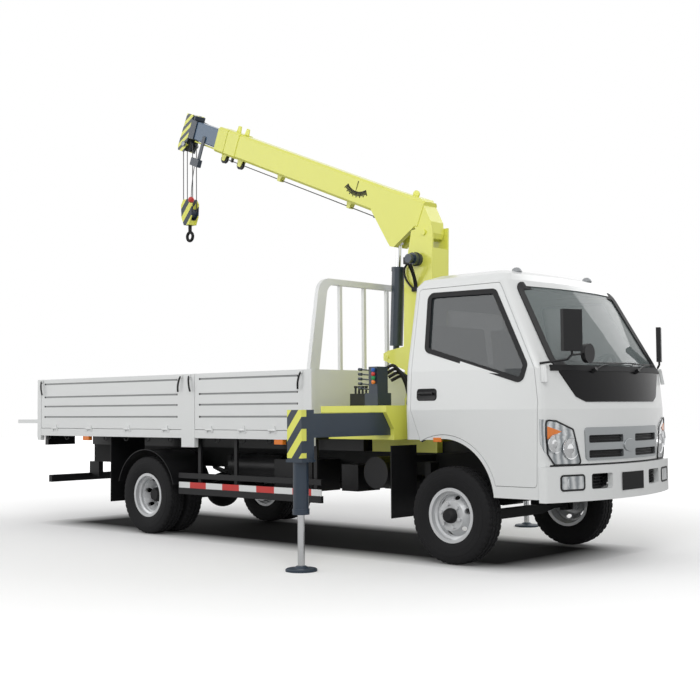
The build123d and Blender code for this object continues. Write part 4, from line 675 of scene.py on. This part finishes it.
def add_tyre(mesh, centre, outward):
    """A tyre with four ribs, cross sipes and plain rings on its sides."""
    half = [(distance, radius, False) for distance, radius in SIDEWALL]
    half += [(distance, TYRE_RADIUS - depth, rib) for distance, depth, rib in TREAD]
    section = half + [(-distance, radius, rib) for distance, radius, rib in reversed(half)]
    first, second = frame_along(outward)
    steps = TREAD_BLOCKS * 4
    rings = []
    for step in range(steps):
        ring = []
        for distance, radius, rib in section:
            lag = 0.25 * abs(distance) / TYRE_HALF * 2 * pi / TREAD_BLOCKS if rib else 0
            angle = 2 * pi * step / steps + lag
            reach = radius - (SIPE_DEPTH if rib and step % 4 == 3 else 0.0)
            ring.append(centre + outward * distance + (first * cos(angle) + second * sin(angle)) * reach)
        rings.append(ring)
    add_rings(mesh, rings, loop=True)


def make_tyres():
    for side, hand in SIDES:
        outward = Vector((0, side, 0))
        front, rear = f"front_tyre_{hand}", f"rear_tyres_{hand}"
        mesh = bmesh.new()
        add_tyre(mesh, node_centre(front), outward)
        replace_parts(make_piece(f"tread_front_{hand}", mesh, "tyre", f"{hand}_front_wheel"), front)
        low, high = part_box(rear)
        mesh = bmesh.new()
        for y in (low.y + TYRE_HALF + 0.0025, high.y - TYRE_HALF - 0.0025):
            add_tyre(mesh, Vector((REAR_X, y, AXLE_Z)), outward)
        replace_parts(make_piece(f"tread_rear_{hand}", mesh, "tyre", f"{hand}_rear_wheels"), rear)


# Window seals, panel seams and trim of the cab
SCREEN = [(-0.806, 1.585), (0.806, 1.585), (0.728, 2.238), (-0.728, 2.238)]
DOOR_WINDOW = [(-0.262, 2.205), (0.395, 2.195), (0.752, 1.590), (0.712, 1.470), (-0.238, 1.744)]


def make_seals():
    mesh = bmesh.new()
    points = [cab_front(y, z, -0.004) for y, z in rounded(SCREEN, 0.06)]
    normals = [Vector((1.0, 0.12 * point.y, 0.62)) for point in points]
    add_strip(mesh, points, normals, 0.070, 0.008)
    make_piece("screen_seal", mesh, "seal")
    mesh = bmesh.new()
    places = [-0.86 + 1.72 * index / 30 for index in range(31)]
    points = [cab_front(y, 1.566, -0.004) for y in places]
    normals = [Vector((1.0, 0.12 * point.y, 0.3)) for point in points]
    add_strip(mesh, points, normals, 0.046, 0.012, closed=False)
    make_piece("cowl_strip", mesh, "seal")
    for side, hand in SIDES:
        mesh = bmesh.new()
        points = [cab_side(x, z, side, -0.004) for x, z in rounded(DOOR_WINDOW, 0.042)]
        add_strip(mesh, points, [Vector((0, side, 0.18))] * len(points), 0.042, 0.008)
        make_piece(f"window_seal_{hand}", mesh, "seal", f"{hand}_door")


# Door outline: its straight part, and where it runs into the wheel arch
DOOR_EDGE = [
    (-0.285, 1.005), (-0.376, 1.250), (-0.376, 2.262), (0.440, 2.262), (0.828, 1.567), (0.862, 1.300),
    (0.838, 0.655),
]
ARCH_MIDDLE = Vector((-0.045, 0.530))
ARCH_EDGE = 0.520
ARCH_FROM = 14.0
ARCH_TO = 117.0
BUMPER_TOP = 0.818


def make_door_shuts():
    """Dark strips behind the doors' gaps and over the bumper, carried by the cab: partly rubber seals,
    partly painted shade that darkens the gaps.
    """
    for side, hand in SIDES:
        outline = rounded(DOOR_EDGE, 0.03, 4)[5:-5]
        points = [Vector(place) for place in (DOOR_EDGE[0], *outline, DOOR_EDGE[-1])]
        for step in range(13):
            angle = radians(ARCH_FROM + (ARCH_TO - ARCH_FROM) * step / 12)
            points.append(ARCH_MIDDLE + Vector((ARCH_EDGE * cos(angle), ARCH_EDGE * sin(angle))))
        mesh = bmesh.new()
        skin = [cab_side(point.x, point.y, side, -0.022) for point in points]
        add_strip(mesh, skin, [Vector((0, side, 0.1))] * len(skin), 0.020, 0.004)
        make_piece(f"door_shut_{hand}", mesh, "seal")
    # Painted shade: a thin dark line at the bumper's top edge stands for the shade in the gap there
    mesh = bmesh.new()
    places = [-0.90 + 1.80 * index / 36 for index in range(37)]
    points = [cab_front(y, BUMPER_TOP, -0.002) for y in places]
    normals = [Vector((1, 0.2 * point.y, 0)) for point in points]
    add_strip(mesh, points, normals, 0.012, 0.005, closed=False)
    make_piece("bumper_gap", mesh, "seal")


# Door handle: outline about its middle, then share of that size and lift of each ring
HANDLE = rounded([(-0.105, -0.05), (0.105, -0.05), (0.105, 0.05), (-0.105, 0.05)], 0.03)
HANDLE_MIDDLE = (-0.21, 1.375)
HANDLE_RINGS = ((1.0, 1.0, 0.0015), (0.94, 0.90, 0.006), (0.84, 0.76, 0.003))


def make_handles():
    middle_x, middle_z = HANDLE_MIDDLE
    for side, hand in SIDES:
        mesh = bmesh.new()
        rings = []
        for share_x, share_z, lift in HANDLE_RINGS:
            ring = [(middle_x + x * share_x, middle_z + z * share_z) for x, z in HANDLE]
            rings.append([cab_side(x, z, side, lift) for x, z in ring])
        add_rings(mesh, rings)
        grip = [(-0.285, 1.382), (-0.255, 1.384), (-0.165, 1.384), (-0.135, 1.382)]
        add_tube(mesh, [cab_side(x, z, side, 0.018) for x, z in grip], 0.011)
        make_piece(f"door_handle_{hand}", mesh, "black", f"{hand}_door")


def make_wipers():
    """Two wipers parked over the dark panel below the windscreen."""
    mesh = bmesh.new()
    for pivot_y, tip_y in ((-0.42, 0.30), (0.22, 0.80)):
        pivot = cab_front(pivot_y, 1.545, 0.004)
        add_cylinder(mesh, pivot, pivot + Vector((0.035, 0, 0.02)), 0.018)
        knee = cab_front(pivot_y + 0.18, 1.60, 0.028)
        blade_end = cab_front(tip_y, 1.622, 0.020)
        add_tube(mesh, [pivot + Vector((0.03, 0, 0.015)), knee, (knee + blade_end) / 2], 0.005)
        blade = [(pivot_y + (tip_y - pivot_y) * share, 1.612 + 0.01 * share) for share in (0, 0.33, 0.66, 1)]
        add_tube(mesh, [cab_front(y, z, 0.012) for y, z in blade], 0.005)
    make_piece("wipers", mesh, "black")


# Headlamp: its outline, the indicator's, and its two bowls as Y, Z and radius
LAMP = [
    (0.612, 0.822), (0.866, 0.824), (0.925, 0.905), (0.940, 1.050), (0.940, 1.168), (0.850, 1.158),
    (0.690, 1.092),
]
INDICATOR = [(0.80, 1.078), (0.93, 1.12), (0.93, 1.02), (0.86, 1.055)]
BOWLS = ((0.715, 0.945, 0.085), (0.860, 0.985, 0.075))


def make_headlamps():
    """Dark bezels, chrome bowls and an orange indicator behind each lens."""
    for side, hand in SIDES:
        mesh = bmesh.new()
        points = [cab_front(side * y, z, 0.006) for y, z in rounded(LAMP, 0.025)]
        add_strip(mesh, points, [Vector((1, 0, 0))] * len(points), 0.012, 0.005)
        make_piece(f"lamp_bezel_{hand}", mesh, "black")
        mesh = bmesh.new()
        for y, z, radius in BOWLS:
            centre = cab_front(side * y, z, 0.001)
            bowl = [(0.006, radius), (0.012, radius * 0.98), (0.005, radius * 0.86)]
            bowl += [(0.003, radius * 0.5), (0.014, radius * 0.28), (0.014, 0)]
            add_lathe(mesh, bowl, centre, (1, side * 0.18, 0), 36)
        make_piece(f"lamp_bowls_{hand}", mesh, "chrome")
        mesh = bmesh.new()
        add_plate(mesh, [cab_front(side * y, z, 0.007) for y, z in INDICATOR], (0.004, 0, 0))
        make_piece(f"lamp_indicator_{hand}", mesh, "orange", bevel=0.002)


# Grille slots: height of each row, and their ends from the middle
GRILLE_ROWS = ((0.868, 0.928), (0.985, 1.045))
SLOT_ENDS = (0.095, 0.530)


def make_grille_bars():
    """Slats set back in the grille's slots over a dark screen, and a plain boss between them."""
    screen = bmesh.new()
    slats = bmesh.new()
    for side in (-1, 1):
        places = [side * (SLOT_ENDS[0] + (SLOT_ENDS[1] - SLOT_ENDS[0]) * index / 16) for index in range(17)]
        for low, high in GRILLE_ROWS:
            rows = [[cab_front(y, z, -0.017) for y in places] for z in (low, high)]
            for index in range(16):
                corners = [rows[0][index], rows[0][index + 1], rows[1][index + 1], rows[1][index]]
                add_plate(screen, corners, (0.002, 0, 0))
            for share in (0.32, 0.70):
                z = low + (high - low) * share
                add_tube(slats, [cab_front(y, z, -0.008) for y in places], 0.0035, 8, 1)
    make_piece("grille_screen", screen, "seal")
    make_piece("grille_slats", slats, "black")
    mesh = bmesh.new()
    angles = [2 * pi * index / 36 for index in range(36)]
    rim = [cab_front(0.088 * cos(angle), 0.957 + 0.052 * sin(angle), 0.008) for angle in angles]
    add_plate(mesh, rim, (0.010, 0, 0))
    make_piece("grille_boss", mesh, "grille", bevel=0.003)


# Bumper: half width, front at the middle, fall back of its ends; then a fog lamp's outline
BUMPER = (0.985, 1.120, 0.195)
FOG_LAMP = rounded([(0.620, 0.630), (0.845, 0.630), (0.845, 0.742), (0.620, 0.742)], 0.022)


def make_bumper_trim():
    """Dark tow pockets, fog lamps with rings and a plain plate."""
    mesh = bmesh.new()
    for side in (-1, 1):
        for index in range(5):
            z = 0.640 + index * 0.024
            slat_x = FRONT_X + 1.0
            add_box(mesh, (slat_x, side * 0.295, z - 0.004), (slat_x + 0.012, side * 0.535, z + 0.004))
        add_box(mesh, (FRONT_X + 0.975, side * 0.28, 0.618), (FRONT_X + 0.985, side * 0.55, 0.758))
    make_piece("bumper_pockets", mesh, "black")
    for side, hand in SIDES:
        mesh = bmesh.new()
        points = [bowed(side * y, z, *BUMPER, -0.004) for y, z in FOG_LAMP]
        add_strip(mesh, points, [Vector((1, 0.3 * side, 0))] * len(points), 0.014, 0.009)
        make_piece(f"fog_lamp_frame_{hand}", mesh, "seal")
        mesh = bmesh.new()
        points = [bowed(side * y, z, *BUMPER, 0.0005) for y, z in FOG_LAMP]
        add_plate(mesh, points, (0.003, side * 0.001, 0))
        make_piece(f"fog_lamp_lens_{hand}", mesh, "lens")
    mesh = bmesh.new()
    add_box(mesh, (FRONT_X + 1.1205, -0.17, 0.602), (FRONT_X + 1.1235, 0.17, 0.745))
    make_piece("plate_panel", mesh, "gloss_black", bevel=0.001)


def make_roof_lamps():
    mesh = bmesh.new()
    dome = [(-0.01, 0.04), (0.012, 0.045), (0.03, 0.036), (0.042, 0.02), (0.045, 0)]
    for y in (-0.5, 0.6):
        add_lathe(mesh, dome, (FRONT_X + 0.37, y, 2.372), (0, 0, 1), 24)
    make_piece("roof_lamps", mesh, "steel")


CORNER_DEFLECTOR = ((0.915, 1.455), (0.945, 1.455), (0.925, 1.590), (0.900, 1.590))


def make_cab_trim():
    """Corner deflectors and side repeaters."""
    for side, hand in SIDES:
        mesh = bmesh.new()
        points = []
        for x, z in CORNER_DEFLECTOR:
            points.append(Vector((FRONT_X + x - 0.012, side * (0.935 - (z - 1.455) * 0.1), z)))
        add_plate(mesh, points, (-0.02, side * 0.018, 0))
        make_piece(f"corner_deflector_{hand}", mesh, "white", bevel=0.004)
    mesh = bmesh.new()
    for side in (-1, 1):
        y = side * 0.974
        add_box(mesh, (FRONT_X - 0.145, y - 0.010, 0.988), (FRONT_X - 0.065, y + 0.010, 1.024))
    make_piece("side_repeaters", mesh, "orange", bevel=0.003)


# Hub covers, as distance from the disc and radius: front and rear
FRONT_HUB = [
    (0.0712, 0.0), (0.0712, 0.0615), (0.092, 0.0615), (0.1165, 0.0535), (0.1285, 0.0395), (0.1287, 0.0),
]
REAR_HUB = [(0.020, 0.0), (0.020, 0.0765), (0.096, 0.0715), (0.1183, 0.0575), (0.1187, 0.0)]


def make_wheel_trim():
    """Dark hubs in the bright wheels."""
    hubs = (("front", "wheel", FRONT_X, 0.870, FRONT_HUB), ("rear", "wheels", REAR_X, 0.825, REAR_HUB))
    for side, hand in SIDES:
        for end, wheel, x, y, profile in hubs:
            mesh = bmesh.new()
            add_lathe(mesh, profile, (x, side * y, AXLE_Z), (0, side, 0), 36)
            make_piece(f"{end}_hub_{hand}", mesh, "seal", f"{hand}_{end}_{wheel}")


# Latches of the drop sides: place from the front axle, lean of the lever
LATCHES = ((-1.552, -1), (-3.105, 1), (-3.232, -1), (-5.700, 1))
# Lever of a latch: along the bed the way it leans, outwards, height
LEVER = ((0, 0.012, 1.598), (0.010, 0.026, 1.560), (0.022, 0.030, 1.500), (0.030, 0.022, 1.445))
# Drop sides: body, first and last groove end from the front axle
SIDE_GROOVES = (("front_side", -2.970, -1.605), ("rear_side", -5.660, -3.300))
GROOVE_HEIGHTS = (1.198, 1.315, 1.420, 1.566)
# One rope hook: along the bed, from the middle, height
ROPE_HOOK = (
    (-0.03, 1.060, 0.990), (-0.03, 1.062, 0.962), (0.0, 1.066, 0.950), (0.03, 1.062, 0.962),
    (0.03, 1.060, 0.990),
)
# Tape over the side guard: its ends, and the length of the first band and of the others
TAPE_START = FRONT_X - 1.392
TAPE_END = FRONT_X - 3.367
FIRST_BAND = 0.125
BAND = 0.24


def add_latches(side, hand):
    y = side * 1.084
    for index, (x, lean) in enumerate(LATCHES):
        x += FRONT_X
        mesh = bmesh.new()
        lever = [(x + lean * reach, y + side * out, z) for reach, out, z in LEVER]
        add_tube(mesh, lever, 0.009)
        make_piece(f"latch_{index}_{hand}", mesh, "seal")
        mesh = bmesh.new()
        add_box(mesh, (x - 0.016, y, 1.584), (x + 0.016, y + side * 0.016, 1.612))
        make_piece(f"latch_base_{index}_{hand}", mesh, "white", bevel=0.002)


def add_grooves(side, hand):
    for body, start, stop in SIDE_GROOVES:
        mesh = bmesh.new()
        ends = bmesh.new()
        low_x, high_x = FRONT_X + start, FRONT_X + stop
        for z in GROOVE_HEIGHTS:
            # Painted shade: a grey strip along each groove stands for the shadow under the rib above it
            add_box(mesh, (low_x, side * 1.0722, z - 0.0085), (high_x, side * 1.0735, z + 0.0085))
            for x in (low_x, high_x):
                add_box(ends, (x - 0.012, side * 1.0737, z - 0.012), (x + 0.012, side * 1.079, z + 0.012))
        make_piece(f"grooves_{body}_{hand}", mesh, "shade", f"{hand}_{body}")
        make_piece(f"groove_ends_{body}_{hand}", ends, "seal", f"{hand}_{body}")


def add_guard_tape(side, hand):
    bands = {"white": bmesh.new(), "tape_red": bmesh.new()}
    start = TAPE_START
    index = 0
    while start > TAPE_END + 0.007:
        stop = max(start - (BAND if index else FIRST_BAND), TAPE_END)
        colour = "tape_red" if index % 2 else "white"
        add_box(bands[colour], (stop, side * 1.0, 0.491), (start, side * 1.006, 0.550))
        start = stop
        index += 1
    for colour, mesh in bands.items():
        make_piece(f"guard_{colour}_{hand}", mesh, colour)


def make_bed_trim():
    """Latch levers, grey strips of painted shade in the grooves, rope hooks and the tape over the side
    guard.
    """
    for side, hand in SIDES:
        add_latches(side, hand)
        add_grooves(side, hand)
        mesh = bmesh.new()
        for index in range(12):
            middle = FRONT_X - 5.60 + index * 0.36
            add_tube(mesh, [(middle + x, side * y, z) for x, y, z in ROPE_HOOK], 0.006)
        make_piece(f"rope_hooks_{hand}", mesh, "chassis")
        add_guard_tape(side, hand)


def boom_spot(reach, rise, y):
    """A point from the luff pin, along the boom and square to it."""
    return BOOM_PIN + BOOM_ALONG * reach + BOOM_UP * rise + Vector((0, y, 0))


def add_boom_plate(mesh, outline, y, thickness):
    add_plate(mesh, [boom_spot(reach, rise, y) for reach, rise in outline], (0, thickness, 0))


def add_lug(mesh, reach, foot, tip, y, thickness):
    """A tapered plate on the boom: half length and rise of its foot and of its tip."""
    ends = ((-foot[0], foot[1]), foot, tip, (-tip[0], tip[1]))
    add_boom_plate(mesh, [(reach + half, rise) for half, rise in ends], y, thickness)


# Angle dial: middle along and square to the boom, first angle, sweep and number of ticks
DIAL_MIDDLE = (0.99, 0.33)
DIAL_FROM = -128
DIAL_SWEEP = 76
DIAL_TICKS = 22
# Grooved wheels, distance from the middle and radius: rope pulley, rim of the head sheave
PULLEY = [(-0.014, 0.0), (-0.014, 0.050), (-0.006, 0.044), (0.006, 0.044), (0.014, 0.050), (0.014, 0.0)]
SHEAVE_RIM = [
    (-0.013, 0.060), (-0.013, 0.0765), (-0.009, 0.0765), (-0.003, 0.068), (0.003, 0.068),
    (0.009, 0.0765), (0.013, 0.0765), (0.013, 0.060),
]


def make_boom_trim():
    """Angle dial, lifting eye, lugs, rope pulleys and guides of the boom's base section."""
    for side, hand in SIDES:
        y = side * 0.1003
        middle = boom_spot(*DIAL_MIDDLE, y)
        mesh = bmesh.new()
        for index in range(DIAL_TICKS):
            angle = radians(DIAL_FROM + index * DIAL_SWEEP / (DIAL_TICKS - 1))
            out = BOOM_ALONG * cos(angle) + BOOM_UP * sin(angle)
            across = (BOOM_UP * cos(angle) - BOOM_ALONG * sin(angle)) * 0.0055
            first, last = middle + out * 0.196, middle + out * (0.242 if index % 3 else 0.256)
            tick = [first - across, last - across, last + across, first + across]
            add_plate(mesh, tick, (0, side * 0.0012, 0))
        pointer = [(0.985, 0.235), (0.995, 0.235), (0.992, 0.128), (0.988, 0.128)]
        add_boom_plate(mesh, pointer, y, side * 0.002)
        make_piece(f"angle_dial_{hand}", mesh, "gloss_black", "boom")
    mesh = bmesh.new()
    for reach in (2.86, 3.00):
        add_lug(mesh, reach, (0.035, 0.272), (0.02, 0.345), -0.008, 0.016)
    eye = [(0, 0.014), (0, 0.036), (0.020, 0.036), (0.020, 0.014)]
    add_lathe(mesh, eye, boom_spot(0.32, 0.296, -0.010), (0, 1, 0), 24)
    for reach, low in ((1.10, -0.060), (2.165, -0.062)):
        add_lug(mesh, reach, (0.035, 0.004), (0.02, low), -0.030, 0.060)
    make_piece("boom_lugs", mesh, "yellow", "boom", 0.002)
    for name, reach, body in (("base", 2.835, "boom"), ("middle", 3.115, "boom_middle")):
        mesh = bmesh.new()
        add_lathe(mesh, PULLEY, boom_spot(reach, -0.050, 0), (0, 1, 0), 28)
        make_piece(f"rope_pulley_{name}", mesh, "iron", body)
        mesh = bmesh.new()
        for y in (-0.026, 0.018):
            add_lug(mesh, reach, (0.045, 0.0), (0.022, -0.072), y, 0.008)
        make_piece(f"pulley_cheeks_{name}", mesh, "yellow", body, 0.001)


def make_head_trim():
    """The head pin's end plates, the limit switch and its weight, and a line under the inner boom."""
    mesh = bmesh.new()
    sheave = boom_spot(3.765, -0.048, 0)
    for side in (-1, 1):
        outward = Vector((0, side, 0))
        add_cylinder(mesh, sheave + outward * 0.083, sheave + outward * 0.105, 0.030, 24, 0.003)
        for angle in range(6):
            turn = radians(60 * angle)
            spot = sheave + BOOM_ALONG * 0.021 * cos(turn) + BOOM_UP * 0.021 * sin(turn)
            add_cylinder(mesh, spot + outward * 0.103, spot + outward * 0.108, 0.004, 8)
    make_piece("head_pin_ends", mesh, "steel", "boom_tip")
    mesh = bmesh.new()
    for side in (-1, 1):
        add_lathe(mesh, SHEAVE_RIM, sheave + Vector((0, side * 0.028, 0)), (0, 1, 0), 40)
    make_piece("head_sheave_rims", mesh, "iron", "boom_tip")
    mesh = bmesh.new()
    add_boom_plate(mesh, [(3.38, -0.150), (3.52, -0.150), (3.52, -0.235), (3.38, -0.235)], -0.138, 0.055)
    add_boom_plate(mesh, [(3.43, 0.110), (3.48, 0.110), (3.48, -0.170), (3.43, -0.170)], -0.084, 0.012)
    make_piece("limit_switch", mesh, "slate", "boom_tip", 0.003)
    mesh = bmesh.new()
    add_tube(mesh, [boom_spot(s, 0.018, -0.045) for s in (3.26, 3.36, 3.50, 3.63)], 0.009, 10, 4)
    make_piece("inner_boom_line", mesh, "yellow", "boom_tip")
    mesh = bmesh.new()
    switch = boom_spot(3.45, -0.240, -0.118)
    weight = Vector((switch.x - 0.02, -0.148, switch.z - 0.375))
    bend = (switch + weight) / 2 + Vector((-0.012, 0, 0))
    add_tube(mesh, [switch, bend, weight + Vector((0, 0, 0.03))], 0.004)
    make_piece("switch_wire", mesh, "seal", "hook")
    mesh = bmesh.new()
    ball = [(-0.036, 0.004), (-0.026, 0.026), (0.0, 0.037), (0.026, 0.026), (0.036, 0.004)]
    add_lathe(mesh, ball, weight, (0, 0, 1), 20)
    make_piece("switch_weight", mesh, "red", "hook")


# Thin hoses from the winch's motor to a clip on the column, from the slewing centre's X
MOTOR_HOSES = (
    ((0.010, -0.265, 2.585), (-0.005, -0.200, 2.50), (-0.020, -0.150, 2.42), (-0.028, -0.140, 2.375)),
    ((-0.022, -0.262, 2.590), (-0.030, -0.190, 2.50), (-0.040, -0.150, 2.42), (-0.045, -0.140, 2.375)),
    ((-0.120, -0.150, 2.615), (-0.165, -0.150, 2.55), (-0.135, -0.146, 2.45), (-0.060, -0.140, 2.365)),
)
KNOBS = (("blue_knob", 1.600), ("tape_red", 1.565), ("green_knob", 1.530), ("orange", 1.495))


def make_hoses():
    """Hoses of the winch's motor and of the control station, with its valves and knobs."""
    mesh = bmesh.new()
    x = SLEW_X
    for route in MOTOR_HOSES:
        add_tube(mesh, [(x + reach, y, z) for reach, y, z in route], 0.010, 8)
    add_box(mesh, (x - 0.075, -0.152, 2.345), (x - 0.010, -0.126, 2.385))
    make_piece("motor_hoses", mesh, "seal", "column")
    mesh = bmesh.new()
    flange = [(0, 0.0585), (0.0, 0.066), (0.014, 0.066), (0.014, 0.0585)]
    add_lathe(mesh, flange, (x - 0.015, -0.158, 2.640), (0, -1, 0), 28)
    add_box(mesh, (x - 0.130, -0.205, 2.600), (x - 0.070, -0.150, 2.665))
    make_piece("motor_block", mesh, "iron", "column", 0.003)
    mesh = bmesh.new()
    for index in range(4):
        y = -0.720 + index * 0.034
        fall = index * 0.03
        route = [(x + 0.060, y, 1.600 - fall), (x + 0.130, y + 0.06, 1.640 - fall)]
        route += [(x + 0.185, y + 0.13, 1.520), (x + 0.190, y + 0.18, 1.390), (x + 0.170, y + 0.20, 1.300)]
        add_tube(mesh, route, 0.015, 10)
    make_piece("station_hoses", mesh, "seal")
    mesh = bmesh.new()
    add_box(mesh, (x - 0.360, -0.700, 1.291), (x - 0.180, -0.600, 1.400))
    for index in range(4):
        stem_x = x - 0.335 + index * 0.043
        add_cylinder(mesh, (stem_x, -0.650, 1.400), (stem_x, -0.650, 1.455), 0.010, 12)
        add_cylinder(mesh, (stem_x, -0.650, 1.450), (stem_x, -0.650, 1.470), 0.016, 12, 0.003)
    make_piece("valve_block", mesh, "iron", bevel=0.002)
    for colour, z in KNOBS:
        mesh = bmesh.new()
        knob = [(0.0, 0.006), (0.006, 0.010), (0.012, 0.017), (0.026, 0.018), (0.032, 0.010), (0.033, 0.0)]
        add_lathe(mesh, knob, (x + 0.080, -0.860, z), (0, -1, 0), 18)
        make_piece(f"knob_{colour}", mesh, colour)


def aim(thing, place, target, roll=0.0):
    """Puts a camera or a lamp at a place, looking at a target."""
    turn = (Vector(target) - Vector(place)).to_track_quat("-Z", "Y").to_matrix().to_4x4()
    thing.matrix_world = Matrix.Translation(place) @ turn @ Matrix.Rotation(radians(roll), 4, "Z")


def make_camera():
    data = bpy.data.cameras.new("camera")
    data.lens = CAMERA_LENS
    data.clip_end = 200.0
    camera = add_object("camera", data)
    aim(camera, CAMERA_PLACE, CAMERA_TARGET, CAMERA_ROLL)
    bpy.context.scene.camera = camera


# Floor: half size, grey when lit, as the camera sees it in the open, and the painted shadow that the camera
# sees under the truck
FLOOR_HALF = 40.0
FLOOR_GREY = (0.55, 0.55, 0.55)
FLOOR_SEEN = (0.98, 0.98, 0.98)
FLOOR_PAINTED_SHADOW = (0.012, 0.012, 0.012)
WORLD_LIGHT = 0.62
# Lamps: name, place, target, size, power
LAMPS = (
    ("key", (9.0, -9.0, 9.0), (0.5, 0, 1.2), 6.0, 460.0),
    ("fill", (-8.0, -10.0, 6.0), (0, 0, 1.2), 8.0, 280.0),
    ("rim", (2.0, 10.0, 8.0), (0, 0, 1.5), 6.0, 180.0),
)


def fade(shader, axis, slope, start):
    """1 near the truck's middle, falling to 0 with the distance along an axis."""
    distance = shader.math("ABSOLUTE", shader.axis(axis))
    return shader.limit(shader.math("MULTIPLY_ADD", distance, -slope, start), 0.0, 1.0)


def make_floor():
    """A pale floor that looks white in the open, with a near-black painted shadow under the truck for camera
    rays, on top of the real shadow.
    """
    shader = Shader("floor", FLOOR_GREY, 0.9)
    seen = shader.node("ShaderNodeLightPath").outputs["Is Camera Ray"]
    # Painted shadow: under is the mask of a near-black patch painted on the floor beneath the truck
    under = shader.both(fade(shader, "X", 1.8, 6.1), fade(shader, "Y", 2.0, 2.3))
    shader.paint(shader.mix(seen, FLOOR_GREY, shader.mix(under, FLOOR_SEEN, FLOOR_PAINTED_SHADOW)))
    shader.set("Specular IOR Level", 0.1)
    squares = [shader.math("POWER", shader.axis(axis), 2.0) for axis in "XY"]
    distance = shader.math("SQRT", shader.math("ADD", *squares))
    glow = shader.limit(shader.math("MULTIPLY_ADD", distance, 0.06, -0.14), 0.06, 0.8)
    # The floor's glow is left out under the painted shadow
    glow = shader.both(glow, shader.math("SUBTRACT", 1.0, under))
    shader.set("Emission Color", (1, 1, 1))
    shader.set("Emission Strength", shader.both(glow, seen))
    mesh = bmesh.new()
    bmesh.ops.create_grid(mesh, x_segments=1, y_segments=1, size=FLOOR_HALF)
    data = bpy.data.meshes.new("floor")
    mesh.to_mesh(data)
    mesh.free()
    data.materials.append(shader.material)
    add_object("floor", data)


def make_world():
    """Soft daylight all round, white where the camera, gloss or glass shows it."""
    world = bpy.data.worlds.new("world")
    bpy.context.scene.world = world
    world.use_nodes = True
    tree = world.node_tree
    background = tree.nodes["Background"]
    background.inputs["Color"].default_value = (1, 1, 1, 1)
    rays = tree.nodes.new("ShaderNodeLightPath").outputs
    shown = rays["Is Camera Ray"]
    for ray in ("Is Transmission Ray", "Is Glossy Ray"):
        either = tree.nodes.new("ShaderNodeMath")
        either.operation = "MAXIMUM"
        tree.links.new(shown, either.inputs[0])
        tree.links.new(rays[ray], either.inputs[1])
        shown = either.outputs[0]
    strength = tree.nodes.new("ShaderNodeMapRange")
    strength.inputs["To Min"].default_value = WORLD_LIGHT
    strength.inputs["To Max"].default_value = 1.0
    tree.links.new(shown, strength.inputs["Value"])
    tree.links.new(strength.outputs[0], background.inputs["Strength"])


def make_lamps():
    for name, place, target, size, power in LAMPS:
        light = bpy.data.lights.new(name, "AREA")
        light.size = size
        light.energy = power
        aim(add_object(name, light), place, target)


bpy.context.scene.view_settings.view_transform = "Standard"
make_camera()
make_floor()
make_world()
make_lamps()
dress_nodes()
make_tyres()
make_seals()
make_door_shuts()
make_handles()
make_wipers()
make_headlamps()
make_grille_bars()
make_bumper_trim()
make_roof_lamps()
make_cab_trim()
make_wheel_trim()
make_bed_trim()
make_boom_trim()
make_head_trim()
make_hoses()
